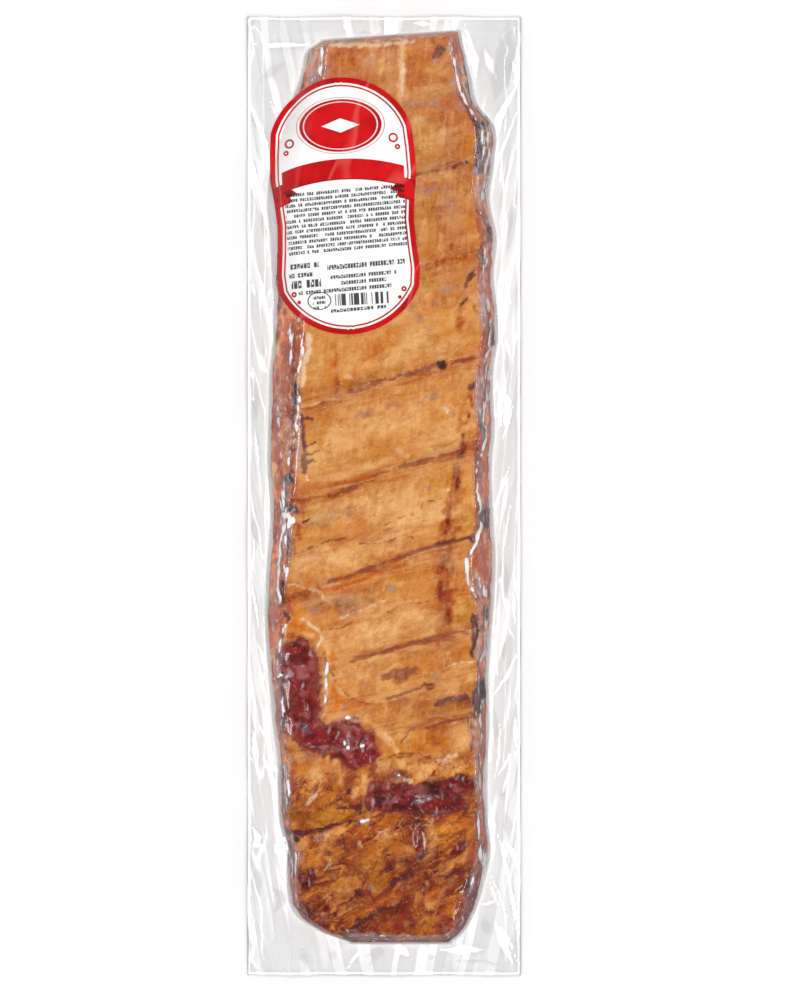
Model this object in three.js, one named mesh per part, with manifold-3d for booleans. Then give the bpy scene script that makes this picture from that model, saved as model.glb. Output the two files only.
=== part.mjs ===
// A vacuum pack of smoked pork ribs, lying on its back with the bone side up.
//
// One slab of ribs is sealed in a clear flat bag. The film clings to the slab, so the bag's outside has the
// slab's form: a top face crossed by the seams between the ribs, and sloping sides. Round it runs a flat
// border of film, welded at the rim. The bag is one solid, and so is the die-cut paper label, with an arched
// top and a waist, that is stuck on the film near one end.
//
// Millimetres. X runs across the pack, Y along it towards the label's end, and Z up from the surface that it
// lies on. The origin is on that surface, under the middle of the bag.

import * as THREE from "three";
import { mergeVertices } from "three/addons/utils/BufferGeometryUtils.js";
import Module from "manifold-3d";

// The bag: a flat pouch, whose border is drawn thicker than its two films so that it is a sound solid.
const BAG = { width: 130, length: 456, border: 0.9 };
const SEAM_HEIGHT = 9; // where the upper and lower film meet beside the slab
// The border sags to its outer edge, which rises and falls in slow waves.
const RIM = { height: 4.5, wave: 1.8, alongX: 47, alongY: 83 };
const BORDER_SLOPE = 9; // how far in from the rim the border reaches the seam's height

// The slab of ribs.
const SLAB_HEIGHT = 29; // over the middle of the slab
const END_DROP = { top: 4, bottom: 3.5, reach: 70 }; // the slab thins towards its two ends
const CROWN_DROP = 1.8; // the top face falls by this from its middle to its long edges
const END_SLOPE = { top: 3.5, bottom: 6 }; // how far the cut ends slope inwards
const UNDER_CURVE = 13; // how far the underside curls up to the seam
const SIDE_ROUND = 1.8; // 1 makes the sides straight slopes, and more rounds them over

// The slab's long edges from the top end to the bottom end: [y, x of the edge, width of the slope beside it].
const LEFT_EDGE = [
  [216, -28.5, 4.3],
  [211, -35.2, 9.5],
  [198, -38.5, 11.9],
  [186, -42.4, 13.0],
  [175, -48.2, 14.0],
  [157, -53.4, 16.0],
  [141, -53.4, 16.0],
  [127, -51.8, 15.0],
  [105, -52.9, 16.0],
  [90, -52.2, 15.5],
  [79, -51.0, 14.7],
  [56, -52.7, 13.8],
  [31, -53.2, 14.7],
  [15, -53.7, 14.1],
  [-7, -52.2, 10.4],
  [-30, -53.7, 9.5],
  [-57, -55.1, 7.6],
  [-83, -53.2, 5.0],
  [-106, -51.3, 4.2],
  [-128, -48.9, 4.0],
  [-154, -48.0, 4.0],
  [-168, -44.2, 4.2],
  [-187, -44.2, 4.3],
  [-199, -40.4, 5.2],
  [-207, -28.0, 4.8],
  [-212, -15.2, 3.8],
];
const RIGHT_EDGE = [
  [221, 34.7, 4.8],
  [211, 36.6, 5.7],
  [198, 39.9, 6.6],
  [186, 42.8, 5.7],
  [175, 50.8, 9.0],
  [157, 50.3, 8.1],
  [141, 48.4, 7.1],
  [122, 51.8, 5.7],
  [105, 50.3, 7.1],
  [79, 52.7, 6.6],
  [56, 49.9, 6.6],
  [31, 50.8, 7.1],
  [15, 49.4, 7.6],
  [-7, 49.9, 7.1],
  [-30, 51.3, 11.0],
  [-57, 49.9, 6.6],
  [-83, 48.0, 4.3],
  [-106, 48.4, 8.5],
  [-128, 47.5, 4.3],
  [-154, 47.5, 4.8],
  [-168, 48.9, 6.2],
  [-187, 45.1, 8.5],
  [-199, 40.9, 7.1],
  [-207, 36.1, 7.1],
  [-212, 30.4, 3.8],
];

// Lines across the top face, which the rows of its facets follow: [y at the left, y at the right, depth].
// The first and last are the cut ends. Those with a depth are the seams between the ribs, which climb to the
// right.
const GUIDE_ENDS = [-40, 43]; // x of the left and of the right
const GUIDES = [
  [215.2, 221, 0],
  [211.2, 216.5, 0],
  [141, 159, 1.2],
  [91, 113.5, 1.6],
  [41, 64.5, 1.8],
  [-2.5, 23, 2.6],
  [-26, -11.5, 0.8],
  [-47.5, -19.5, 2.0],
  [-68.5, -45.5, 1.0],
  [-83.5, -63, 1.8],
  [-104, -83.5, 1.2],
  [-121.5, -103, 1.4],
  [-137, -132.5, 0],
  [-159.5, -149, 2.0],
  [-205.5, -205.5, 0],
  [-212, -212, 0],
];
const SEAM_HALF_WIDTH = 4.2;
const RIB_BULGE = 1.0; // between seams the face rises by this

// A strip of lean meat, sunk between two ridges of fat in the lower part, and a bulging bent muscle near it.
const LEAN_STRIP = { y: -142.5, from: -10, halfWidth: 6.5, depth: 2.4 };
const MUSCLE_BULGE = 1.8;
const MUSCLE = [
  { from: [-37.5, -78], to: [-36, -109], radius: 9.5 },
  { from: [-30, -113.5], to: [-11.5, -115], radius: 9 },
];

// Lumps of fat across the bottom quarter, as waves: [length, direction in radians, height, phase].
const LUMPS_BELOW = -142;
const LUMPS = [
  [31, 0.4, 0.6, 0.0],
  [23, 1.9, 0.5, 2.1],
  [17, 2.8, 0.4, 4.0],
];

// The label, about its own middle: arcs at the top and bottom, and sides with a waist: [height, half width].
const LABEL = { x: -18.6, y: 137, turn: 3, top: 60.8, bottom: -60.8 };
const LABEL_SIDE = [
  [-39.6, 33.2],
  [-31, 34],
  [-8, 32.3],
  [14, 34.7],
  [36.6, 33.4],
];
const LABEL_THICKNESS = 0.3;
const LABEL_GAP = 0.3;

// How finely the surfaces are divided.
const ROW_PITCH = 4.7;
const BORDER_STEPS = 3;
const SLOPE_STEPS = 4;
const FACE_STEPS = 14;

const clamp = (value, low = 0, high = 1) => Math.min(high, Math.max(low, value));
const lerp = (a, b, share) => a + (b - a) * share;
const smooth = (share) => clamp(share) ** 2 * (3 - 2 * clamp(share));

// The values of an edge's table at y, along a smooth curve through all its rows.
function edgeAt(table, y) {
  const last = table.length - 1;
  const below = table.findIndex((row) => row[0] <= y);
  const i = clamp(below < 0 ? last : below, 1, last) - 1;
  const [before, a, b, after] = [-1, 0, 1, 2].map((k) => table[clamp(i + k, 0, last)]);
  const span = b[0] - a[0];
  const t = clamp((y - a[0]) / span);
  const [x, slope] = [1, 2].map((column) => {
    const tangentA = ((b[column] - before[column]) / (b[0] - before[0])) * span;
    const tangentB = ((after[column] - a[column]) / (after[0] - a[0])) * span;
    return (
      (2 * t ** 3 - 3 * t ** 2 + 1) * a[column] +
      (t ** 3 - 2 * t ** 2 + t) * tangentA +
      (3 * t ** 2 - 2 * t ** 3) * b[column] +
      (t ** 3 - t ** 2) * tangentB
    );
  });
  return { x, slope };
}

// The y of a line across the face, given by its y at the two guide ends.
function lineY([leftY, rightY], x) {
  return lerp(leftY, rightY, (x - GUIDE_ENDS[0]) / (GUIDE_ENDS[1] - GUIDE_ENDS[0]));
}

// Where a line across the face meets an edge of the slab.
function meet(table, line) {
  let x = edgeAt(table, lineY(line, 0)).x;
  for (let i = 0; i < 5; i++) {
    x = edgeAt(table, lineY(line, x)).x;
  }
  return edgeAt(table, lineY(line, x));
}

// The rows of the slab's surface, from the bottom end to the top end, spaced between one guide and the next.
function rowLines() {
  const lines = [];
  for (let i = GUIDES.length - 1; i > 0; i--) {
    const [low, high] = [GUIDES[i], GUIDES[i - 1]];
    const steps = Math.max(3, Math.round((lineY(high, 0) - lineY(low, 0)) / ROW_PITCH));
    for (let step = 0; step < steps; step++) {
      const share = step / steps;
      lines.push([lerp(low[0], high[0], share), lerp(low[1], high[1], share)]);
    }
  }
  return [...lines, GUIDES[0]];
}

// How far a point is from the line between two points.
function distanceToSegment(x, y, [ax, ay], [bx, by]) {
  const share = clamp(((x - ax) * (bx - ax) + (y - ay) * (by - ay)) / ((bx - ax) ** 2 + (by - ay) ** 2));
  return Math.hypot(x - lerp(ax, bx, share), y - lerp(ay, by, share));
}

// The seams, ribs, lean strip, muscle and lumps, as a height to add to the top face.
function relief(x, y) {
  let height = 0;
  const seams = GUIDES.filter((guide) => guide[2] > 0);
  for (const seam of seams) {
    height -= seam[2] * Math.exp(-Math.abs(y - lineY(seam, x)) / SEAM_HALF_WIDTH);
  }
  for (let i = 1; i < seams.length; i++) {
    const [high, low] = [lineY(seams[i - 1], x), lineY(seams[i], x)];
    height += RIB_BULGE * Math.sin(Math.PI * clamp((y - low) / (high - low)));
  }
  const across = Math.abs(y - LEAN_STRIP.y) / LEAN_STRIP.halfWidth;
  height -= LEAN_STRIP.depth * Math.exp(-(across ** 4)) * smooth((x - LEAN_STRIP.from) / 6);
  const muscle = Math.max(
    ...MUSCLE.map((m) => 1 - (distanceToSegment(x, y, m.from, m.to) / m.radius) ** 2),
  );
  height += MUSCLE_BULGE * Math.sqrt(Math.max(0, muscle));
  for (const [length, direction, rise, phase] of LUMPS) {
    const run = x * Math.cos(direction) + y * Math.sin(direction);
    height += rise * Math.sin((2 * Math.PI * run) / length + phase) * smooth((LUMPS_BELOW - y) / 15);
  }
  return height;
}

// Height of the middle of the slab's top face, on a line through y and before its relief.
function slabHeight(y) {
  const nearTop = 1 - (lineY(GUIDES[0], 0) - y) / END_DROP.reach;
  const nearBottom = 1 - (y - lineY(GUIDES.at(-1), 0)) / END_DROP.reach;
  return SLAB_HEIGHT - END_DROP.top * smooth(nearTop) - END_DROP.bottom * smooth(nearBottom);
}

// The middle height of the border film: level with the seam beside the slab, and sagging to the rim.
function borderHeight(x, y) {
  const inward = Math.min(BAG.width / 2 - Math.abs(x), BAG.length / 2 - Math.abs(y));
  const wave = Math.sin((2 * Math.PI * x) / RIM.alongX + 1) * Math.sin((2 * Math.PI * y) / RIM.alongY);
  return lerp(RIM.height + RIM.wave * wave, SEAM_HEIGHT, smooth(inward / BORDER_SLOPE));
}

// The columns of the bag's surface from the left rim to the right rim: each one's zone, and how far into it.
const steps = (zone, count) => Array.from({ length: count }, (_, i) => ({ zone, t: i / count }));
const mirrored = (zone, count) => steps(zone, count).toReversed().map(({ t }) => ({ zone, t }));
const COLUMNS = [
  ...steps("leftBorder", BORDER_STEPS),
  ...steps("leftSlope", SLOPE_STEPS),
  ...steps("face", FACE_STEPS),
  { zone: "face", t: 1 },
  ...mirrored("rightSlope", SLOPE_STEPS),
  ...mirrored("rightBorder", BORDER_STEPS),
];

// One row of the surface on a line across the slab: for each column its x, y, upper height and lower height.
function slabRow(line) {
  const [left, right] = [meet(LEFT_EDGE, line), meet(RIGHT_EDGE, line)];
  const middle = (left.x + right.x) / 2;
  const toTop = (lineY(GUIDES[0], 0) - lineY(line, 0)) / END_SLOPE.top;
  const toBottom = (lineY(line, 0) - lineY(GUIDES.at(-1), 0)) / END_SLOPE.bottom;
  const endRise = 1 - (1 - clamp(Math.min(toTop, toBottom))) ** 2;

  return COLUMNS.map(({ zone, t }) => {
    const x = {
      leftBorder: lerp(-BAG.width / 2, left.x, t),
      leftSlope: left.x + left.slope * t,
      face: lerp(left.x + left.slope, right.x - right.slope, t),
      rightSlope: right.x - right.slope * t,
      rightBorder: lerp(BAG.width / 2, right.x, t),
    }[zone];
    const y = lineY(line, x);
    const border = borderHeight(x, y);
    if (zone.endsWith("Border")) {
      return [x, y, border + BAG.border / 2, border - BAG.border / 2];
    }
    const sideRise = zone === "face" ? 1 : 1 - (1 - t) ** SIDE_ROUND;
    const curl = 1 - clamp(Math.min(x - left.x, right.x - x) / UNDER_CURVE);
    const crown = CROWN_DROP * ((x - middle) / (right.x - middle)) ** 2;
    const face = slabHeight(lineY(line, 0)) - crown + relief(x, y) * sideRise;
    return [
      x,
      y,
      lerp(border + BAG.border / 2, face, sideRise * endRise),
      lerp(border - BAG.border / 2, 0, (1 - curl ** 2) * endRise),
    ];
  });
}

// The rows of border film between an end of the slab and the rim beyond it, the rim's row first.
function borderRows(slabEnd, rimY) {
  return Array.from({ length: BORDER_STEPS }, (_, i) =>
    slabEnd.map(([endX, endY], column) => {
      const rimX = lerp(-BAG.width / 2, BAG.width / 2, column / (COLUMNS.length - 1));
      const x = lerp(rimX, endX, i / BORDER_STEPS);
      const y = lerp(rimY, endY, i / BORDER_STEPS);
      const border = borderHeight(x, y);
      return [x, y, border + BAG.border / 2, border - BAG.border / 2];
    }),
  );
}

// The bag's upper and lower surfaces over the same rows and columns, joined along the rim.
function bagGeometry() {
  const slab = rowLines().map(slabRow);
  const rows = [
    ...borderRows(slab[0], -BAG.length / 2),
    ...slab,
    ...borderRows(slab.at(-1), BAG.length / 2).toReversed(),
  ];
  const points = rows.flat();
  const upper = points.map(([x, y, high]) => [x, y, high]);
  const lower = points.map(([x, y, , low]) => [x, y, low]);
  const at = (row, column) => row * COLUMNS.length + column;
  const below = points.length;
  const [lastRow, lastColumn] = [rows.length - 1, COLUMNS.length - 1];
  const triangles = [];

  for (let row = 0; row < lastRow; row++) {
    for (let column = 0; column < lastColumn; column++) {
      const [a, b] = [at(row, column), at(row, column + 1)];
      const [d, c] = [at(row + 1, column), at(row + 1, column + 1)];
      triangles.push([a, b, c], [a, c, d]);
      triangles.push([a + below, c + below, b + below], [a + below, d + below, c + below]);
    }
  }
  const rim = [
    ...Array.from({ length: lastColumn }, (_, i) => at(0, i)),
    ...Array.from({ length: lastRow }, (_, i) => at(i, lastColumn)),
    ...Array.from({ length: lastColumn }, (_, i) => at(lastRow, lastColumn - i)),
    ...Array.from({ length: lastRow }, (_, i) => at(lastRow - i, 0)),
  ];
  rim.forEach((a, i) => {
    const b = rim[(i + 1) % rim.length];
    triangles.push([a, a + below, b + below], [a, b + below, b]);
  });
  return new THREE.BufferGeometry()
    .setAttribute("position", new THREE.Float32BufferAttribute([...upper, ...lower].flat(), 3))
    .setIndex(triangles.flat());
}

// The label's outline: an arc over the top, the waisted sides, and an arc under the bottom.
function labelShape() {
  const [heel, shoulder] = [LABEL_SIDE[0], LABEL_SIDE.at(-1)];
  const arc = ([corner, half], apex) => {
    const rise = Math.abs(apex - corner);
    const radius = (half ** 2 + rise ** 2) / (2 * rise);
    const turn = Math.asin(half / radius);
    const up = Math.sign(apex - corner);
    return Array.from({ length: 17 }, (_, i) => {
      const angle = lerp(turn, -turn, i / 16) * up;
      return new THREE.Vector2(radius * Math.sin(angle), apex - up * radius * (1 - Math.cos(angle)));
    });
  };
  const side = new THREE.SplineCurve(LABEL_SIDE.map(([height, half]) => new THREE.Vector2(half, height)));
  const rising = side.getSpacedPoints(16).slice(1, -1);
  const outline = [
    ...arc([shoulder[0], shoulder[1]], LABEL.top),
    ...rising.toReversed().map((p) => new THREE.Vector2(-p.x, p.y)),
    ...arc([heel[0], heel[1]], LABEL.bottom),
    ...rising,
  ];
  const middle = new THREE.Vector2();
  const turn = THREE.MathUtils.degToRad(LABEL.turn);
  return new THREE.Shape(outline.map((p) => p.rotateAround(middle, turn)));
}

const wasm = await Module();
wasm.setup();

function solidOf(geometry) {
  const bare = geometry.clone();
  bare.deleteAttribute("normal");
  bare.deleteAttribute("uv");
  const merged = mergeVertices(bare, 1e-4);
  return new wasm.Manifold(
    new wasm.Mesh({
      numProp: 3,
      vertProperties: merged.getAttribute("position").array,
      triVerts: new Uint32Array(merged.index.array),
    }),
  );
}

function meshOf(name, solid, material) {
  const { vertProperties, triVerts } = solid.getMesh();
  const geometry = new THREE.BufferGeometry()
    .setAttribute("position", new THREE.Float32BufferAttribute(vertProperties, 3))
    .setIndex(new THREE.BufferAttribute(triVerts, 1));
  geometry.computeVertexNormals();
  const mesh = new THREE.Mesh(geometry, material);
  mesh.name = name;
  return mesh;
}

const bag = solidOf(bagGeometry()).simplify(0.01);

// The label is what lies in its outline between two raised copies of the bag's own surface.
const labelColumn = solidOf(
  new THREE.ExtrudeGeometry(labelShape(), { depth: 2 * SLAB_HEIGHT, bevelEnabled: false }),
).translate([LABEL.x, LABEL.y, 1]);
const label = labelColumn
  .intersect(bag.translate([0, 0, LABEL_GAP + LABEL_THICKNESS]))
  .subtract(bag.translate([0, 0, LABEL_GAP]));

const smokedRibs = new THREE.MeshStandardMaterial({ color: 0xc48544, roughness: 0.25, metalness: 0 });
const printedPaper = new THREE.MeshStandardMaterial({ color: 0xd9393f, roughness: 0.4, metalness: 0 });

const pack = new THREE.Group();
pack.add(meshOf("bag", bag, smokedRibs), meshOf("label", label, printedPaper));

export default pack;
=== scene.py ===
"""Visible pieces of a vacuum pack of smoked pork ribs: the slab, the clear film round it and the label.

Shapes are worked out in millimetres and put into meshes in metres, in the frame of the solids.
"""

import bpy
import numpy as np
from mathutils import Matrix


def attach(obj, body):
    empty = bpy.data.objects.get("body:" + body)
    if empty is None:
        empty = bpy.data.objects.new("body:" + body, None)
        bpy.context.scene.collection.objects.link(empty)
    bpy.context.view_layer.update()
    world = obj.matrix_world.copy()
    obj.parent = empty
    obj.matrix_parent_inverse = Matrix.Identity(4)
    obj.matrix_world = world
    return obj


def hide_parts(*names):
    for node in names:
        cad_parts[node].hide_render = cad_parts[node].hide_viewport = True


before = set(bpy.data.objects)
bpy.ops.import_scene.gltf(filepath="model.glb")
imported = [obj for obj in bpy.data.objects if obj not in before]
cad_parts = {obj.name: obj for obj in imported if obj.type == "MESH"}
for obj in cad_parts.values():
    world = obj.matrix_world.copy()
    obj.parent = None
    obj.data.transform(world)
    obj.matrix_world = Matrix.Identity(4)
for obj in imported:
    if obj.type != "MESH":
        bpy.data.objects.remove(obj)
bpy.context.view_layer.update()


# ---- The slab of ribs -----------------------------------------------------------------------------
# A cooked and smoked slab of pork ribs, bone side up. Cut rib ends show along its right edge, the thick
# outer meat along its left, and the seams between the ribs run across it. It lies loose in its bag.

# Long edges from the top end to the bottom end: y, x of the edge, width of the slope beside it.
LEFT_EDGE = np.array([
    (216, -28.5, 4.3), (211, -35.2, 9.5), (198, -38.5, 11.9), (186, -42.4, 13.0), (175, -46.0, 13.0),
    (157, -49.8, 13.6), (141, -50.6, 13.8), (127, -50.4, 14.0), (105, -51.0, 14.4), (79, -51.0, 14.7),
    (56, -52.7, 13.8), (31, -53.2, 14.7), (15, -53.7, 14.1), (-7, -52.2, 10.4), (-30, -53.7, 9.5),
    (-57, -55.1, 7.6), (-83, -53.2, 5.0), (-106, -51.3, 4.2), (-128, -48.9, 4.0), (-154, -48.0, 4.0),
    (-168, -44.6, 4.2), (-187, -44.2, 4.3), (-199, -40.4, 5.2), (-207, -28.0, 4.8), (-212, -15.2, 3.8),
])
RIGHT_EDGE = np.array([
    (221, 34.7, 4.8), (211, 36.6, 5.7), (198, 39.9, 6.6), (186, 42.8, 5.7), (175, 50.8, 9.0),
    (157, 50.3, 8.1), (141, 48.4, 7.1), (122, 51.8, 5.7), (105, 50.3, 7.1), (79, 52.7, 6.6),
    (56, 49.9, 6.6), (31, 50.8, 7.1), (15, 49.4, 7.6), (-7, 49.9, 7.1), (-30, 51.3, 11.0),
    (-57, 49.9, 6.6), (-83, 48.0, 4.3), (-106, 48.4, 8.5), (-128, 47.5, 4.3), (-154, 47.5, 4.8),
    (-168, 48.9, 6.2), (-187, 45.1, 8.5), (-199, 40.9, 7.1), (-207, 36.1, 7.1), (-212, 30.4, 3.8),
])
TOP_END, BOTTOM_END, END_SKEW = 218, -212, 0.07
SEAM_HEIGHT = 9
SLAB_HEIGHT = 29
CROWN = 1.8
UNDER_CURVE = 13

# The slab thins towards its two ends.
TOP_DROP, BOTTOM_DROP, DROP_REACH = 4, 3.5, 70

# Seams between ribs: y at the left guide, y at the right guide, depth.
GUIDE_LEFT, GUIDE_RIGHT = -40, 43
RIB_TILT = 0.27
RIB_SEAMS = [
    (141, 159, 1.2), (91, 113.5, 1.6), (41, 64.5, 1.8), (-2.5, 23, 2.6), (-26, -11.5, 0.8),
    (-47.5, -19.5, 2.0), (-68.5, -45.5, 1.0), (-83.5, -63, 1.8), (-104, -83.5, 1.2),
    (-121.5, -103, 1.4), (-159.5, -149, 2.0),
]


def smooth(share):
    """An even rise from 0 to 1 that starts and ends level."""
    share = np.clip(share, 0, 1)
    return share * share * (3 - 2 * share)


def noise(x, y, size, seed, octaves=3):
    """Smooth random values, about -1 to 1, on a lattice `size` apart. Each octave halves size and height."""
    lattice = np.random.default_rng(seed).uniform(-1, 1, (256, 256))
    total = np.zeros(np.broadcast(x, y).shape)
    for octave in range(octaves):
        u = x / size * 2**octave + 97.3 + 31 * octave
        v = y / size * 2**octave + 131.7 + 17 * octave
        i, j = np.floor(u).astype(int), np.floor(v).astype(int)
        fu, fv = smooth(u - i), smooth(v - j)
        i, j, i1, j1 = i % 256, j % 256, (i + 1) % 256, (j + 1) % 256
        low = lattice[i, j] * (1 - fu) + lattice[i1, j] * fu
        high = lattice[i, j1] * (1 - fu) + lattice[i1, j1] * fu
        total += (low * (1 - fv) + high * fv) / 2**octave
    return total


def edge_at(table, y):
    """Edge and slope width at y, on a smooth curve through the table's rows."""
    rows = table[::-1]
    i = np.clip(np.searchsorted(rows[:, 0], y) - 1, 0, len(rows) - 2)
    before, a, b, after = (rows[np.clip(i + k, 0, len(rows) - 1)] for k in (-1, 0, 1, 2))
    span = b[..., 0] - a[..., 0]
    t = np.clip((y - a[..., 0]) / span, 0, 1)
    values = []
    for column in (1, 2):
        slope_a = (b[..., column] - before[..., column]) / (b[..., 0] - before[..., 0]) * span
        slope_b = (after[..., column] - a[..., column]) / (after[..., 0] - a[..., 0]) * span
        values.append(
            (2 * t**3 - 3 * t**2 + 1) * a[..., column] + (t**3 - 2 * t**2 + t) * slope_a
            + (3 * t**2 - 2 * t**3) * b[..., column] + (t**3 - t**2) * slope_b
        )
    return values


def away_from(x, y, a, b):
    """Distance of each point from the line between a and b, in half widths of the line at that place."""
    run = b[:2] - a[:2]
    t = np.clip(((x - a[0]) * run[0] + (y - a[1]) * run[1]) / (run @ run), 0, 1)
    return np.hypot(x - a[0] - t * run[0], y - a[1] - t * run[1]) / (a[2] + t * (b[2] - a[2]))


# Strokes are placed on a sheet of fine steps, counted across and down from its top left corner.
SHEET_STEP = 0.475  # mm
ORIGIN_ACROSS, ORIGIN_DOWN = 384, 496


def paint(x, y, strokes, blur=0.9, wander=1.0, pointed=False):
    """How much strokes cover each point, 0 to 1.

    A stroke is its strength and then its points, "0.5 345,62,9 350,80,7", and strokes are parted by ";". A
    point is across,down,half width in steps of the sheet. Cover falls from 1 to 0 around the half width from
    the line between the points, whose place is shaken by noise. Pointed strokes have a tip at both ends.
    """
    across = ORIGIN_ACROSS + x / SHEET_STEP + wander * noise(x, y, 2.2, 5)
    down = ORIGIN_DOWN - y / SHEET_STEP + wander * noise(x, y, 2.2, 6)
    bare = np.ones(across.shape)
    for stroke in strokes.split(";"):
        strength, *points = stroke.split()
        strength, points = float(strength), np.array([point.split(",") for point in points], dtype=float)
        if pointed:
            points = np.insert(points, 1, points[:2].mean(0), axis=0) if len(points) == 2 else points
            points[[0, -1], 2] = 0.2
        reach = points[:, 2].max() * (1 + blur) + 1
        near = (
            (across > points[:, 0].min() - reach) & (across < points[:, 0].max() + reach)
            & (down > points[:, 1].min() - reach) & (down < points[:, 1].max() + reach)
        )
        if len(points) == 1:
            points = np.vstack([points, points + (0.01, 0, 0)])
        px, py = across[near], down[near]
        cover = np.zeros(px.shape)
        for a, b in zip(points[:-1], points[1:]):
            cover = np.maximum(cover, smooth((1 + blur - away_from(px, py, a, b)) / (2 * blur)))
        bare[near] *= 1 - strength * cover
    return 1 - bare


# Folds of fat that stand up, and places that sink, on the top face.
RAISED = """
    1 312,480,5 340,477,5.5 364,470,5.5 382,461,5 398,457,4.5;
    .9 398,456,4.5 416,449,4 436,444,4 450,437,5 474,428,5; .7 286,628,8 304,630,12 316,632,6;
    .5 428,828,5 433,846,5; .6 380,830,7 404,838,9; .6 424,900,12 446,902,13; .5 345,905,8 385,898,8;
    .5 330,850,9 345,866,10; .5 310,770,8 335,780,9; .5 385,764,8 430,770,9 470,768,7"""
SUNK = """
    .8 372,794,12 420,797,13 468,797,11; .7 345,776,7 352,790,7; .7 419,830,3 420,856,4; .6 360,888,9;
    .5 434,873,5 470,872,5; .5 288,836,3 310,830,3 335,826,2.5 364,816,2.5; .4 380,672,5 422,674,6"""

# A bent muscle near the lower end, as two thick lines: x, y and half width at both ends, and its height.
MUSCLE = (((-37.5, -78, 9.5), (-36, -109, 9.5), 1.4), ((-30, -113.5, 9), (-11.5, -115, 9), 1.26))


def face_height(x, y):
    """Height of the film over the top face: a low crown, less the rib seams, plus folds, muscle and lumps."""
    z = SLAB_HEIGHT - TOP_DROP * smooth(1 - (TOP_END - y) / DROP_REACH)
    z = z - BOTTOM_DROP * smooth(1 - (y - BOTTOM_END) / DROP_REACH) - CROWN * (x / 50) ** 2
    across = (x - GUIDE_LEFT) / (GUIDE_RIGHT - GUIDE_LEFT)
    tops = [left + (right - left) * across for left, right, _ in RIB_SEAMS]
    for top, (_, _, depth) in zip(tops, RIB_SEAMS):
        z -= depth * np.exp(-np.abs(y - top) / 3.6)
    for high, low in zip(tops[:-1], tops[1:]):
        z += np.sin(np.pi * np.clip((y - low) / (high - low), 0, 1))
    z -= 1.6 * paint(x, y, SUNK)
    z += 1.5 * paint(x, y, RAISED, blur=0.7)
    for start, end, height in MUSCLE:
        away = away_from(x, y, np.array(start), np.array(end))
        z += height * np.sqrt(np.clip(1 - away**2, 0, 1))
    lumpy = smooth((-138 - y) / 16)
    z += lumpy * (1.1 * noise(x, y, 16, 11, 2) + 0.45 * noise(x, y, 5, 12, 2))
    return z + 0.5 * noise(x, y, 26, 13, 2)


def end_rise(x, y):
    """Share of the full height on the slopes at the two cut ends: 0 at a cut, and 1 past its slope."""
    end = np.clip(np.minimum((TOP_END + END_SKEW * x - y) / 3.5, (y - BOTTOM_END) / 6), 0, 1)
    return 1 - (1 - end) ** 2


def side_rise(x, y, left, left_slope, right, right_slope):
    """Share of the full height: it climbs from 0 at each long edge and cut end in a rounded slope."""
    side = np.clip(np.minimum((x - left) / left_slope, (right - x) / right_slope), 0, 1)
    return (1 - (1 - side) ** 1.8) * end_rise(x, y)


def row_places(rows, left_table, right_table, stretch=0):
    """Where each row line y = s + skew * x meets the two long edges, moved outwards by `stretch`."""
    skew = END_SKEW * smooth((rows - 160) / 58)
    ends = []
    for table, outward in ((left_table, -1), (right_table, 1)):
        x = edge_at(table, rows)[0]
        for _ in range(6):
            x = edge_at(table, rows + skew * x)[0]
        ends.append(x + outward * stretch)
    return skew, *ends


def shell(name, upper, lower, attributes=None):
    """Closed mesh from two grids of points (mm) that share their first and last columns.

    Quads join neighbouring points of each grid, and one flat face closes each end.
    """
    rows, many, few = len(upper), upper.shape[1], lower.shape[1]
    inner = lower[:, 1:-1]
    points = np.concatenate([upper.reshape(-1, 3), inner.reshape(-1, 3)]) / 1000
    high = np.arange(rows * many).reshape(rows, many)
    low = np.arange(rows * (few - 2)).reshape(rows, few - 2) + rows * many
    low = np.hstack([high[:, :1], low, high[:, -1:]])
    quads = [
        np.stack([high[:-1, :-1], high[:-1, 1:], high[1:, 1:], high[1:, :-1]], -1).reshape(-1, 4),
        np.stack([low[:-1, :-1], low[1:, :-1], low[1:, 1:], low[:-1, 1:]], -1).reshape(-1, 4),
    ]
    caps = [
        np.concatenate([low[0], high[0, -2:0:-1]]).tolist(),
        np.concatenate([high[-1], low[-1, -2:0:-1]]).tolist(),
    ]
    mesh = bpy.data.meshes.new(name)
    mesh.from_pydata(points.tolist(), [], np.concatenate(quads).tolist() + caps)
    mesh.shade_smooth()
    for title, values in (attributes or {}).items():
        layer = mesh.attributes.new(title, "FLOAT", "POINT")
        layer.data.foreach_set("value", np.ascontiguousarray(values, dtype=np.float32))
    piece = bpy.data.objects.new(name, mesh)
    bpy.context.collection.objects.link(piece)
    return piece


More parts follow.
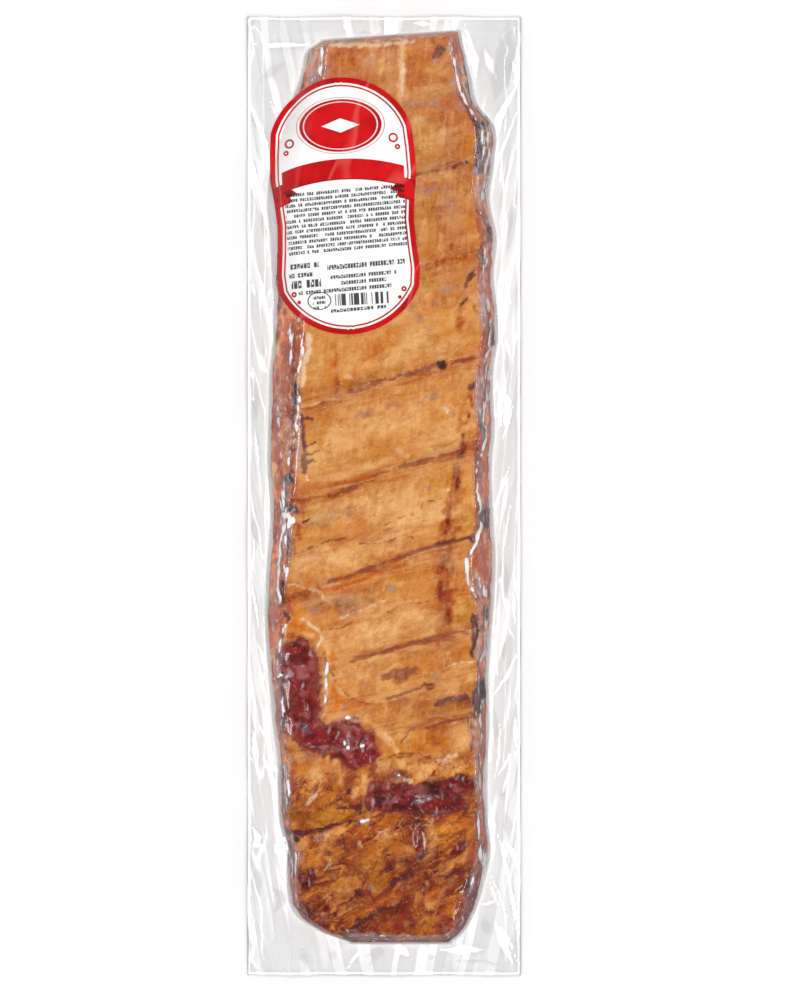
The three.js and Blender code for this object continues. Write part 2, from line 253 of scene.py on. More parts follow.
# What shows on the top face, from the first coat to the last: colour as the eye sees it, how ragged its
# edges are, and strokes. Some coats carry painted light and shade as well as colour, as noted at each.
COATS = {
    "brown fat": ((186, 112, 60), 1.0, """
        .7 425,722,11 442,708,12; .8 404,706,9 466,704,10; .4 415,60,12 440,95,14;
        .4 425,150,14 455,140,12; .35 440,205,18; .5 430,262,10 465,256,9; .4 450,300,14 462,320,10;
        .4 344,492,5 372,484,5; .4 404,466,4 440,455,5 472,444,4; .4 300,500,7 296,525,6;
        .5 308,522,5 350,508,5; .8 300,600,9 322,606,8; .75 322,600,5 345,598,8 380,582,6;
        .35 395,702,8 465,702,9; .75 440,712,8 462,716,8; .3 390,655,6 470,646,5; .4 388,728,9;
        .45 450,742,8; .5 300,812,8 340,816,8; .4 305,846,6"""),
    # Dark red-brown meat between the lumps, darkened further by painted shade.
    "mahogany and lump shade": ((150, 70, 40), 1.1, """
        .9 286,748,5 290,758,6 294,762,4; .6 293,772,4 294,788,5 297,802,5;
        .9 346,766,4 350,776,6 348,786,5; .8 304,870,7 306,884,6; .7 299,895,6 303,910,6;
        .9 334,912,5 342,918,5; .8 312,924,5 330,927,5 350,932,5; .9 354,884,5 359,892,6 366,893,5;
        .8 390,858,4 394,868,6; .7 408,862,6 420,866,5; .8 374,764,4 374,773,4;
        .85 405,892,5 404,905,7 412,918,6; .8 386,925,7 398,921,6; .8 366,926,6 374,932,6;
        .85 432,878,4 443,873,4.5 456,869,4 472,868,4; .6 428,858,5 440,866,5; .5 416,820,5 420,838,4;
        .7 450,920,5 450,930,5; .5 322,878,5; .6 405,936,8 440,936,6; .4 372,842,5;
        .8 474,778,5 470,790,4; .6 462,855,4 472,862,4; .5 396,882,7 414,880,6"""),
    "amber fat": ((210, 126, 46), 0.9, """
        .5 345,62,9; .4 378,78,8 388,92,7; .5 412,56,10 430,74,13; .5 466,130,7 468,150,6;
        .4 465,190,8 470,222,9; .4 430,250,9; .5 440,338,14 462,336,10; .5 330,350,9 334,372,10;
        .5 376,352,14 392,340,12; .4 404,398,7; .6 330,488,5 370,478,5; .5 430,472,9 448,482,9;
        .5 385,552,8 408,546,7; .6 425,566,10 402,572,8; .5 440,650,12 462,648,9;
        .5 398,718,9 380,714,8; .5 430,736,12 446,744,8; .7 300,768,6 303,780,6; .7 334,770,6 330,792,8;
        .6 395,750,8 420,744,9; .6 345,856,9 352,848,6; .7 316,845,4 314,860,4; .7 370,828,9 400,820,9;
        .9 395,843,7 404,850,6; .8 446,840,8 462,828,9; .8 445,842,6; .9 338,905,5 347,911,6;
        .8 352,915,6 366,909,6; .8 385,914,6; .8 405,929,5 428,930,5; .8 425,862,5 434,858,5;
        .7 312,890,5; .6 345,832,8; .8 372,846,6 380,840,6"""),
    # Yellow-brown fat, and painted shade in the band under the pale fold.
    "mustard fat and shade": ((196, 130, 44), 0.9, """
        .5 430,122,9 424,152,8; .5 440,182,7 432,212,8; .5 430,282,9; .5 425,350,8 432,345,8;
        .6 352,384,5 372,376,6 400,368,5; .6 404,466,3 414,459,4 430,455,4 450,446,4; .5 470,436,5;
        .6 318,500,4 345,494,4; .5 312,514,6 335,509,5; .6 465,528,6 468,510,5; .5 402,578,4;
        .4 348,566,7 370,556,8; .7 470,602,5 464,618,8; .4 398,640,5; .5 402,722,5;
        .5 432,706,8 456,708,8; .7 292,744,3 298,753,3.5; .8 292,816,6 312,817,8 338,815,7 355,812,4;
        .8 342,856,6 338,866,6; .8 372,866,6 366,878,7 356,872,6; .7 346,876,6; .85 330,880,8 340,889,5;
        .8 380,884,6; .6 388,764,6; .8 388,848,4 390,856,3; .7 452,834,6 466,836,5;
        .6 340,912,4 356,911,4; .5 460,862,4"""),
    # Pale rib bodies, their lightest middles partly a painted highlight.
    "straw rib and highlight": ((240, 182, 118), 0.8, """
        .35 340,424,16 430,400,15; .45 345,515,15 436,508,15; .4 325,570,11 400,545,11;
        .5 384,762,9 455,766,8; .4 305,775,9 340,775,9; .4 370,58,12 382,66,10; .35 450,122,8;
        .4 444,176,5 462,182,5; .4 320,348,7 318,378,8; .4 420,382,5 450,376,5 470,374,4;
        .45 345,436,14 372,424,14 410,420,12; .45 330,440,9 360,452,9; .4 450,408,9;
        .5 385,500,10 415,506,13 436,516,9; .4 405,528,10 430,528,8; .4 390,492,8 420,488,8;
        .6 305,564,8 325,562,10 352,552,8; .3 318,532,7; .35 385,590,8 410,582,7;
        .7 346,642,11 368,632,15 400,622,12; .5 410,616,12 425,610,8; .55 352,672,8 372,674,10;
        .4 395,664,6; .6 462,672,9 470,676,6; .3 410,708,8; .5 464,740,7 456,748,7;
        .9 322,755,3.5 336,759,3; .85 361,772,3 366,777,3 363,784,3; .85 357,787,2.6 353,798,3;
        .85 366,786,2 366,798,2.2 363,810,1.5; .6 380,770,5 392,770,5;
        .9 430,828,5 433,836,4.6 430,846,4; .8 450,862,4 462,857,4; .7 326,846,5 332,850,4;
        .6 322,776,4 320,787,4; .5 340,892,4 326,894,4; .6 404,818,5; .6 456,764,6 446,769,4;
        .5 305,845,3"""),
    "orange fat": ((222, 126, 48), 0.8, """
        .4 372,352,8; .5 334,362,4 334,384,4; .35 372,450,9; .5 465,508,5 462,488,5;
        .8 323,590,3.4 340,588,4.4 360,583,4.6 376,576,3; .6 466,596,5 462,560,6;
        .6 296,602,5 300,612,5; .5 350,624,3 368,618,3; .95 291,624,4 298,620,5 303,630,6 314,633,4;
        .6 330,652,4 334,664,4; .9 331,684,2.6 336,695,3.6 345,703,5; .7 334,706,4 362,702,4;
        .6 446,676,4; .5 372,740,4 384,753,4; .9 328,764,2.6 329,784,2.4; .5 440,758,4;
        .6 345,826,5 364,836,7; .8 378,826,6 396,832,7; .6 448,820,7 464,818,6;
        .9 368,905,5 382,898,6 396,893,6 404,891,4; .95 424,898,6 432,892,6 448,886,6 446,900,9;
        .8 418,914,5; .7 364,842,4; .8 424,908,6"""),
    # Pale orange fat, its lightest spots on lumps and folds partly painted highlights.
    "peach fat and highlight": ((238, 178, 118), 0.8, """
        .95 402,46,3 402,104,4; .4 333,52,4; .4 424,223,3 422,241,4; .4 440,236,2.6 441,256,4.4;
        .4 440,270,3 462,272,3; .35 406,300,8 424,296,8; .8 345,375,2.4 349,379,2.6 357,380,1.4;
        .4 328,354,3 334,356,2; .5 438,350,3 440,357,3; .4 380,396,4 400,390,4;
        .5 312,482,3.4 326,480,5 345,475,4.4; .5 345,474,4.4 366,467,4.4 386,461,3.6 395,458,3.6;
        .6 440,438,3 455,432,4 472,425,3.4; .8 397,449,2.6 403,454,4 408,456,2.4;
        .6 411,449,1.6 418,446,1.3 424,448,1.3 433,450,1.4; .5 404,510,7 424,500,6;
        .5 316,549,3 330,548,3; .5 452,516,4; .6 445,492,4 449,492,3; .5 356,636,7 366,628,6;
        .5 420,612,7; .6 330,634,5 334,646,5; .9 304,633,2.6 313,635,2.6; .8 325,640,2.4 329,652,3;
        .8 315,646,1.5 318,653,1.4; .6 327,658,2.2 333,675,2.6 342,690,2.4;
        .5 336,662,2 346,683,2 358,698,2; .9 372,722,2 381,731,3.4 391,742,3.4 400,752,1.6;
        .5 376,656,3 398,653,3; .7 468,668,5 474,676,3; .6 452,720,3; .7 315,766,5 316,776,5;
        .85 421,766,5 427,771,5 420,775,4; .8 452,757,4 442,760,3; .85 380,832,6 392,832,6;
        .7 405,846,3 411,848,3.4; .7 455,878,4 446,883,4; .6 424,912,3 428,898,4;
        .6 340,828,5 332,836,4; .7 464,742,5; .6 455,898,3 454,908,3; .6 328,845,4"""),
    "dusty haze": ((188, 136, 116), 1.2, """
        .5 366,68,4 370,60,3; .75 404,104,3 416,107,4 434,104,4; .6 424,172,3 446,168,4 464,165,3;
        .5 448,140,4 450,152,3.4; .5 452,100,3.4 460,112,3; .5 425,120,3 420,126,3;
        .6 420,192,5 444,191,5; .5 444,202,3 454,208,2.6; .6 436,212,3; .7 448,288,5 440,294,4;
        .6 403,304,3 415,312,3 424,327,3.4; .5 430,304,3 436,306,2; .5 330,399,3 364,388,4;
        .4 404,377,5 440,368,5; .6 359,416,3.4 368,416,3.6; .6 370,409,3; .6 389,409,3.6 398,407,4;
        .6 413,400,2.4 419,403,2.4; .6 424,400,2.4 437,396,3.4; .6 447,404,2 450,411,2.4; .5 460,394,3;
        .5 453,415,3; .5 312,433,4 318,427,3; .5 428,492,3 432,488,2; .4 318,520,6 350,514,6;
        .4 410,546,3 418,551,3; .6 392,588,4; .85 330,598,4 352,604,8 346,612,6; .5 318,608,7;
        .4 372,688,8; .6 434,672,3 439,681,2.4; .6 345,707,4; .7 305,754,3 316,758,3;
        .6 322,838,4 310,836,4; .6 300,846,4 300,862,4; .6 348,876,3;
        .8 386,777,2 396,776,2 405,776,2.4; .6 298,778,2.4 300,796,2; .5 416,858,4"""),
    "umber stain": ((150, 86, 36), 1.0, """
        .4 438,296,2.6 450,302,2.2; .4 372,382,3 352,388,3; .5 330,496,2.4 346,489,3 362,483,3;
        .4 404,463,3 440,452,3; .5 312,526,4 326,521,4; .7 335,600,3 348,604,4 372,598,3;
        .5 308,596,4 320,600,4; .8 362,876,5 370,868,4; .6 322,807,2.4 340,798,2;
        .6 440,702,5 470,700,4; .5 428,866,4; .5 388,697,2 410,690,2; .7 340,801,3 352,801,3;
        .6 360,790,1.4 361,812,1.2; .6 345,900,3 356,899,3; .6 398,756,1.6 412,754,1.2"""),
    "smoke rust": ((172, 82, 30), 1.0, """
        .35 470,385,6 465,430,8 458,480,9 452,520,10; .55 450,530,9 446,570,11 446,640,9; .8 339,55,2;
        .8 352,61,2 354,66,2; .4 432,42,4 446,38,4; .5 449,168,4 456,166,3; .5 420,175,2.4 436,172,2.6;
        .5 450,246,3 453,252,2; .6 420,270,2.4 432,268,3 446,262,2 456,259,2 468,258,1.4; .6 444,269,2;
        .6 460,322,4 458,331,3.4; .7 474,306,2 475,312,2; .5 336,346,1.4 336,384,2.4;
        .9 337,385,2.2 337,391,2.4; .5 312,390,1.4 318,389,1.4; .6 457,466,4 455,486,4;
        .5 452,492,4 449,508,5 448,528,6; .6 446,548,7 444,562,8 441,584,6;
        .5 444,596,7 447,620,7 445,640,6; .8 299,525,3.4 299,536,3.4; .6 294,548,2.6 294,560,2;
        .5 330,582,2.4 350,576,2.6 372,568,2.6; .5 430,548,4 414,554,4; .6 290,634,3 296,638,3;
        .5 424,642,3 440,637,4; .8 404,677,4 396,682,3; .6 402,698,4; .5 436,737,7 444,728,4;
        .5 405,732,2 402,742,2; .9 350,768,3 351,778,4.4; .7 296,792,4; .5 303,778,2 309,785,2;
        .9 405,908,4 404,914,5; .8 384,920,5 400,926,5; .8 441,900,5 443,915,6 438,926,4; .6 458,916,4;
        .9 458,806,4 466,812,4; .6 412,872,3; .7 416,808,3 440,815,2; .6 355,856,2 352,864,1.6;
        .5 378,905,3; .7 318,904,2"""),
    "brick side": ((168, 84, 62), 1.0, """
        .8 446,37,4 454,40,4 459,60,3; .7 458,66,2.6 464,92,2.6 473,116,2.6;
        .8 478,222,3 481,236,3 483,250,2.6; .8 484,330,3 484,350,3;
        .9 285,345,3.4 286,368,4 284,392,3.4; .7 293,336,6 294,350,5; .7 302,336,3 301,356,2.4;
        .6 276,420,4 277,450,4; .5 277,500,3 276,540,3 275,560,3; .7 303,500,3 303,512,2;
        .8 273,596,4 273,622,4; .6 290,604,4 292,612,3; .8 276,692,3 278,724,3;
        1 484,552,3.4 479,562,5 482,571,6 487,578,3; .7 484,596,3;
        .9 483,712,2.6 484,735,2.6 483,790,2.6 485,840,3; .8 293,770,2.6 293,786,3.4; .6 290,757,3;
        .7 299,884,3 298,898,3; .7 470,842,3.4 473,858,3; .6 458,906,4"""),
    "lean": ((134, 47, 47), 0.35, """
        1 292,652,10 301,648,10 305,662,14 303,682,16 302,702,17; 1 298,722,15 312,736,13;
        1 330,736,13 350,736,15 364,744,13 371,750,8; 1 345,754,6 360,760,6 370,757,5;
        .8 284,660,6 284,690,6 286,715,6; 1 376,786,7 392,788,7 410,792,8 430,789,9 446,786,8 460,782,8;
        1 374,801,9 395,802,8 415,804,8 440,804,9 458,802,8; .7 462,782,8 472,782,6;
        .95 465,841,4 458,848,5.5 453,853,3; .8 417,820,2.6 421,827,2;
        .95 418,836,3 419,846,4 421,855,3.6; .9 312,868,2.6 311,876,5 305,882,5; .8 302,875,3;
        1 303,903,4 307,908,6 308,916,4; .95 327,907,3.6; .8 320,924,5;
        .85 475,886,4 470,898,5 465,912,6 458,928,5; .8 473,884,3.4 477,874,2.6;
        .7 346,937,4 372,939,4 400,939,3 440,939,3 456,936,4; .7 354,766,2.6 345,762,3; .7 349,790,3;
        .5 396,925,4; .6 288,831,3 302,832,3; .5 408,912,4; .6 360,890,4; .5 336,913,3"""),
    "light lean": ((158, 94, 92), 0.9, """
        .75 300,662,5 304,673,6; .6 312,651,4; .5 311,685,5; .7 344,728,5 352,739,6;
        .6 338,720,3 358,728,3; .6 367,741,3; .6 373,786,3.4 384,786,4; .6 378,795,3.4 391,795,3;
        .6 398,791,4; .6 294,700,3 290,732,3 287,740,3; .7 300,715,2; .9 316,911,5 324,917,5;
        .6 424,808,3 432,811,2; .5 432,878,2.6 455,869,3; .5 460,920,2 466,900,2;
        .5 352,936,2 412,938,2; .5 278,642,3 278,655,3; .5 388,807,2.4 400,808,2; .5 286,670,3 284,690,3"""),
    "blood": ((116, 30, 24), 1.0, """
        .5 470,398,2 471,406,2.6 468,416,2; .6 463,436,2 462,446,3 459,460,3;
        .6 458,462,2.6 456,475,3 457,488,2; .45 448,514,2 447,534,3; .5 445,556,4 444,567,4;
        .3 441,582,3 442,600,3; .35 447,604,4 447,620,4; .95 425,683,1.8 428,687,3 433,685,2.6;
        .7 300,640,3 296,646,2.4; .7 304,700,8 312,712,8; .6 306,746,8 330,752,6 358,761,6;
        .4 412,792,3 440,786,4; .6 376,804,5 396,803,4; .6 304,880,2.4; .5 450,786,3"""),
    "rib seam": ((146, 78, 52), 0.9, """
        .6 350,43,1.3 372,42,1.2; .6 418,177,1.8 430,173,2 445,169,2 462,166,1.8;
        .45 318,406,1.6 330,400,2 345,393,2.4 360,388,2.4 376,383,2.4;
        .5 376,383,2.4 390,380,2.4 405,376,2.4 420,371,2.4 434,366,2.4;
        .6 452,365,1.6 462,361,2.4 473,360,1.6;
        .5 334,496,1.6 350,488,2 368,480,2.4 385,472,2 400,467,2;
        .7 400,467,2 420,462,2 440,457,1.8 458,452,1.6;
        .6 294,554,1.5 310,548,1.5 325,542,1.3 345,538,1;
        .5 360,543,0.9 378,544,1 395,538,1 405,534,0.9 413,538,0.9;
        .4 371,505,0.9 375,500,0.9 377,494,0.8; .4 385,524,0.8 400,517,0.8 412,515,0.8;
        .4 420,508,0.8 422,502,0.8 438,499,0.8; .6 322,584,1.8 345,577,2 365,570,2 380,564,2 400,557,2;
        .8 400,557,2 415,552,2.2 430,547,2.2 445,543,2.4 460,540,2.4 473,537,2;
        .5 388,612,0.9 397,606,1.1 410,603,1.1 430,601,0.9; .5 328,629,1.2 342,627,1.1 352,622,1;
        .4 338,600,0.7 352,606,0.7; .4 346,599,0.7 360,607,0.7; .4 332,606,0.7 342,613,0.7;
        .5 378,598,1.2 382,592,1; .65 348,661,1.3 362,658,1.8 380,652,2 400,645,2 420,641,2;
        .75 420,641,2 436,637,2.6 447,635,2 455,632,1.6 470,632,1.2; .75 384,677,3 398,674,6 414,671,5;
        .7 386,698,1.3 405,692,1.3 418,688,1.2 424,683,1; .5 352,698,0.9 370,703,1 392,701,1;
        .45 324,650,0.9 328,665,0.9 338,682,0.9 352,698,1;
        .7 424,727,1.6 432,725,1.6 445,721,1.3 460,717,1.2 470,716,1;
        .5 402,740,0.9 408,730,1.2 415,727,1; .5 400,751,0.9 420,754,0.9 432,757,0.9;
        .6 304,750,1 318,756,1.2 322,764,1; .6 350,868,0.9 354,858,1.1 358,848,0.9;
        .5 372,870,0.9 378,860,0.9; .5 440,836,0.9 468,828,0.9; .5 430,822,0.9 470,820,0.9;
        .4 392,826,0.7 410,828,0.7; .5 400,752,0.8 380,758,0.8; .6 392,856,1 404,852,1 414,858,1;
        .6 330,893,0.8 345,902,0.8; .4 436,262,1 430,270,1"""),
    "plum": ((88, 40, 50), 0.9, """
        .8 440,52,4 436,57,3.6; .6 300,92,3 304,84,1.4; .6 486,114,1.4 487,126,1.8;
        .6 474,272,2.4 468,280,2 464,292,2.4; .7 460,307,1.3 466,300,1.3; .6 454,168,2;
        .7 303,415,1.6 304,440,2.2 305,455,3 305,472,2.4; .85 305,418,1.3 313,419.5,1.1;
        .7 307,447,1.1 316,443,0.8; .7 308,455,1.1 319,452,0.8; .8 308,462,1.3 318,461,0.9;
        .8 470,388,3 475,385,2; .6 293,500,2 298,512,2; .7 440,544,1.6 454,541,1.8 468,538,1.4;
        .6 283,584,2.4 283,602,2.4; .5 286,612,2 290,618,2;
        .75 436,702,2.4 445,699,3.2 456,698,2.8 466,696,2.2; .8 477,690,4 474,701,3.4;
        .7 473,614,2.4 474,640,2.6 472,655,2.2; .6 472,734,2.4 472,748,2;
        .75 336,805,1 348,805,1.8 360,806,2.4;
        .9 288,829,2 303,832,2.2 315,830,1.8 328,826,1.6 340,822,1.3 357,818,1.1;
        .8 430,794,3 443,791,3; .85 364,919,2 372,914,2 386,907,1.6 396,905,1.2; .9 358,918,3 357,927,4;
        .6 352,874,1.2 362,877,1.2; .85 392,881,2.4 402,878,3 410,873,4; .85 420,856,3;
        .7 340,932,2 356,938,3 372,937,3; .7 446,873,3 468,867,3; .6 312,925,2; .5 306,908,3;
        .6 322,927,2"""),
    "slate": ((98, 88, 104), 0.9, """
        .5 308,60,3 318,66,3; .5 312,76,4 320,84,3; .7 478,130,2.6 480,150,3.4 479,176,3;
        .8 295,380,1.6 296,392,2.8 295,404,3 293,424,2; .6 287,478,3 286,492,3; .7 480,516,2.6;
        .6 480,256,2.4 483,262,2.4; .5 333,744,3 342,748,3; .5 303,726,4 310,730,3;
        .6 392,798,2.4 380,797,3"""),
    # Grey-violet film over the meat, in places with painted sheen on it.
    "lilac and film sheen": ((182, 142, 148), 1.1, """
        .8 309,50,4 312,68,5 314,84,5; .6 324,52,4 325,80,4; .7 437,61,4 436,65,3;
        .7 449,50,3 452,60,3.4 456,76,3.4; .6 453,84,2.6 458,102,3 464,114,2.4;
        .6 477,186,3.4 479,206,3.4; .8 483,276,3 482,300,3.4 483,324,3; .5 463,290,3;
        .85 479,372,4 478,396,4 477,414,3; .4 450,453,1.4 459,451,1.4; .7 289,420,3 289,452,3;
        .7 299,432,2.6 299,468,3.4; .8 287,530,2.8 287,556,2.6; .8 474,578,3 480,590,4;
        .6 476,622,2.6 478,655,3; .7 289,672,3 286,680,3; .6 476,724,3 475,760,3;
        .9 415,800,2.6 424,797,3 440,794,2; .7 396,778,2 408,779,2.4; .8 322,832,2 330,829,1.6;
        .85 362,820,2.4 370,820,1.8; .8 370,884,2.6 372,888,2; .6 286,766,3 286,790,3;
        .6 291,836,4 293,862,3; .7 323,913,2.6 327,918,2; .6 478,852,3 474,868,2;
        .5 466,884,2 460,890,1.6; .6 342,930,2 410,936,2; .6 314,925,1.6 321,928,1.6;
        .7 310,745,1 345,748,1.4; .6 366,737,3 372,744,2.4; .5 424,844,1.6; .6 345,888,2.4"""),
    # White fat, and painted glints on the film.
    "cream fat and glint": ((240, 212, 180), 0.7, """
        .5 402,50,2 402,98,2.6; .7 330,47,2 345,47,2.4 372,48,2.2 400,45,1.8 414,43,1.3; .6 322,50,1.4;
        .8 309,337,3 309,352,2.8 305,366,2.4 303,386,2; .5 346,377,1.4 350,380,1.4;
        .6 398,450,1.4 404,455,1.6; .6 448,490,2; .5 443,352,1.2; .6 444,408,1.6 446,412,1.2;
        .5 287,583,1.3 300,586,1.6 312,588,2.4 320,593,2 327,600,1.6;
        .5 342,618,1.3 355,612,1.5 370,605,1.5 386,600,1.2;
        .8 471,547,1.3 467,560,1.8 466,573,1.6 470,585,2 475,596,2;
        .7 291,620,1.2 286,628,1.2 285,636,1 281,645,0.9;
        .7 303,618,1.2 312,624,1.3 320,630,1.3 322,638,1 318,645,0.9;
        .6 324,672,1 328,690,1 327,705,1.2 323,716,1; .7 346,716,1.2 352,718,1.8 358,720,1.2;
        .6 444,668,1.4 455,663,1.2 472,661,1.3; .6 478,676,1.6; .8 437,759,1.2 447,757,2 456,753,1.6;
        .5 383,731,0.9 396,744,0.9; .6 307,803,2.2 311,798,3 316,793,1.8; .7 404,778,1.4 412,779,1.6;
        .6 331,856,1.6 329,863,3 326,867,1.6; .85 359,842,2.4; .6 327,832,1.2 334,829,1;
        .5 436,793,0.9 418,801,1.4; .7 453,891,1.3 461,883,1.6; .7 290,792,1.6; .5 362,845,1.6"""),
    # Near-black hollows: their dark is painted shade.
    "shaded pits": ((42, 28, 34), 0.7, """
        .8 464,66,1.3 468,77,1.8 469,92,1.4 471,104,1.2; .8 474,122,1.6 482,129,2.6; .7 466,165,2;
        .9 438,364,2.2 441,366,3.6 443,364,2.6; .6 442,419,0.9; .6 296,384,1.2 294,398,2;
        .8 288,478,2 291,482,1.6; .8 291,507,1.8 296,511,1.4; .6 304,522,1 310,518,1;
        .8 473,541,1.4 470,539,1.2; .8 283,600,1.4; .7 288,612,1;
        .9 483,682,3 484,695,4 478,705,3 474,716,1.6; .6 444,699,1.6 450,698,1.4;
        .7 468,719,1.6 470,724,1.4; .8 476,616,1.3 477,630,1.6 474,648,1.2; .9 297,838,2.8 299,838,2;
        .8 421,856,1.8; .5 361,796,0.9 361,812,0.8; .7 372,936,1.4 380,932,1.4;
        .6 356,889,1.4 362,894,1.2; .7 360,921,1.6 357,926,1.6; .6 438,792,1.3 442,795,1; .6 430,881,1;
        .6 314,829,0.9 330,825,0.9"""),
}


def painted_meat(x, y, side):
    """Colour of the meat at each point, coat over coat, and how much each named coat covers.

    The first coat is smoked fat in patches drawn out along the ribs, with painted light and shade across each
    rib: paler on the ribs and browner towards the seams. The sides are redder outer meat, and the lower end
    is lumpy fat whose dark creases are partly its own colour and partly painted shade.
    """
    lumpy = smooth((-122 - y + 0.15 * x) / 10)
    lump = np.abs(noise(x + 0.5 * y, y - 0.4 * x, 15, 61, 1))
    small_lump = np.abs(noise(x - 0.3 * y, y + 0.3 * x, 6.5, 62, 2))
    layers = {
        "lumpy": lumpy,
        "deep": lumpy * (1 - smooth(2.6 * lump)),
        "dent": lumpy * (1 - smooth(2.6 * small_lump)),
        "crease": lumpy * np.maximum(1 - smooth(3.2 * lump), 0.8 * (1 - smooth(3 * small_lump))),
    }
    guide_share = (x - GUIDE_LEFT) / (GUIDE_RIGHT - GUIDE_LEFT)
    # How near each point is to a rib seam, for the painted shade that browns the ribs towards their seams.
    seam_shade = np.max([
        np.exp(-np.abs(y - low - (high - low) * guide_share) / 4.5) * min(depth / 1.8, 1)
        for low, high, depth in RIB_SEAMS
    ], axis=0) * (1 - lumpy)
    layers["seam_shade"] = seam_shade
    along = y - RIB_TILT * x
    colour = np.full((*x.shape, 3), (230.0, 156, 84))
    side_streak = noise(x * 2.2, y * 0.35, 6, 77)
    first = [
        ((206, 128, 60), smooth(0.5 + 0.9 * noise(x * 0.5, along, 14, 71)) * 0.7),
        # Paler rib bodies, kept off the seams: painted light across each rib.
        ((238, 180, 112), smooth(0.3 + 0.9 * noise(x * 0.5, along, 17, 72)) * 0.6 * (1 - 0.8 * seam_shade)),
        ((206, 142, 58), smooth(0.1 + 0.9 * noise(x * 0.6, along, 9, 73)) * 0.5),
        ((200, 134, 92), smooth((y - 60) / 90) * (0.5 + 0.4 * noise(x, y, 12, 74))),
        ((182, 78, 50), smooth((y - 160) / 35) * 0.38),
        # Painted shade towards the seams.
        ((186, 112, 58), seam_shade * 0.5),
        ((216, 136, 50), lumpy * (0.6 + 0.3 * noise(x, y, 8, 75))),
        ((174, 112, 52), lumpy * smooth((-150 - y) / 40) * (0.35 + 0.5 * noise(x, y, 10, 76))),
        ((206, 108, 66), side),
        ((240, 172, 130), side * smooth(0.2 + side_streak)),
        ((150, 62, 48), side * smooth(noise(x * 2, y * 0.4, 6, 78) * 1.5) * 0.8),
        ((140, 88, 92), side * smooth(noise(x * 1.5, y * 0.4, 9, 79) * 1.5 - 0.2) * 0.5),
        ((140, 84, 84), side * (x > 0) * smooth(0.7 + noise(x, y * 0.5, 9, 83)) * 0.4),
        # Painted shade in the creases between the lumps, over their darker meat.
        ((142, 62, 36), layers["crease"] * 0.5),
    ]
    for tone, amount in first:
        colour += (np.array(tone) - colour) * amount[..., None]
    for number, (title, (tone, ragged_edge, strokes)) in enumerate(COATS.items()):
        cover = paint(x, y, strokes)
        cover = cover + ragged_edge * 1.6 * cover * (1 - cover) * noise(x, along, 2.6, 80 + number)
        layers[title] = smooth(cover * 1.15 - 0.05)
        colour += (np.array(tone) - colour) * layers[title][..., None]
    # Darker towards the lower end, and more painted shade in the creases between the lumps.
    bottom_tone_and_crease_shade = lumpy * (0.02 + 0.2 * smooth((-165 - y) / 25)) + 0.28 * layers["crease"]
    colour += (np.array((114, 38, 10)) - colour) * bottom_tone_and_crease_shade[..., None]
    return colour, layers


even = np.linspace(0, 1, 560)
rows = BOTTOM_END + (TOP_END - BOTTOM_END) * (0.9 * even + 0.1 * smooth(even))
skew, left, right = row_places(rows, LEFT_EDGE, RIGHT_EDGE)
left_slope = edge_at(LEFT_EDGE, rows + skew * left)[1]
right_slope = edge_at(RIGHT_EDGE, rows + skew * right)[1]
ragged = 0.5 * noise(rows, 0 * rows, 7, 21), 0.5 * noise(rows, 0 * rows, 7, 22)

# Columns run up the left slope (0 to 1), over the face (1 to 2) and down the right slope (2 to 3).
share = np.concatenate([
    np.linspace(0, 1, 22)[:-1], 1 + np.linspace(0, 1, 126)[:-1], 2 + np.linspace(0, 1, 14),
])
side_left, face_share, side_right = (np.clip(share - zone, 0, 1) for zone in range(3))
x = (
    (left + ragged[0])[:, None] * (1 - face_share) + (right + ragged[1])[:, None] * face_share
    + (left_slope[:, None] * side_left) * (1 - face_share)
    - (right_slope[:, None] * (1 - side_right)) * face_share
)
y = rows[:, None] + skew[:, None] * x
rise = side_rise(
    x, y, (left + ragged[0])[:, None], left_slope[:, None], (right + ragged[1])[:, None], right_slope[:, None]
)
side = np.minimum((x - x[:, :1]) / left_slope[:, None], (x[:, -1:] - x) / right_slope[:, None])
side = np.minimum(side, np.minimum((TOP_END + END_SKEW * x - y) / 3, (y - BOTTOM_END) / 2.5))
side = smooth((1.12 - side) / 0.3)
colour, layers = painted_meat(x, y, side)

# The meat lies under the film: a little below it everywhere, and further in seams, pits and round lumps.
lumpy = layers["lumpy"]
below = 0.5 + 0.16 * noise(x * 0.4, y - RIB_TILT * x, 3.2, 23, 2) + 0.12 * noise(x, y - 0.25 * x, 1.6, 24, 2)
below += 0.7 * layers["rib seam"] + 0.9 * layers["shaded pits"] + 0.5 * layers["plum"] - 0.25 * layers["peach fat and highlight"]
below += 1.5 * layers["deep"] + 0.9 * layers["dent"] - 0.2 * layers["cream fat and glint"]
z = SEAM_HEIGHT + (face_height(x, y) - np.maximum(below, 0.15) - SEAM_HEIGHT) * rise
z -= (0.5 + 0.5 * noise(x * 2, y * 0.4, 5, 25)) * side * smooth(rise * 3)
upper = np.stack([x, y, z], -1)

# Underneath, the slab curls down from its edges to a flat bottom.
across = (1 - np.cos(np.pi * np.linspace(0, 1, 15))) / 2
x_low = x[:, :1] + (x[:, -1:] - x[:, :1]) * across
y_low = rows[:, None] + skew[:, None] * x_low
curl = 1 - np.clip(np.minimum(x_low - x[:, :1], x[:, -1:] - x_low) / UNDER_CURVE, 0, 1)
z_low = SEAM_HEIGHT * (1 - (1 - curl**2) * end_rise(x_low, y_low)) + 0.35
z_low[:, 0], z_low[:, -1] = z[:, 0], z[:, -1]
lower = np.stack([x_low, y_low, z_low], -1)

under = lower[:, 1:-1].reshape(-1, 3)


def with_under(top, beneath):
    """Values of the top grid, followed by one value for every point underneath."""
    return np.concatenate([top.ravel(), np.full(len(under), beneath)])


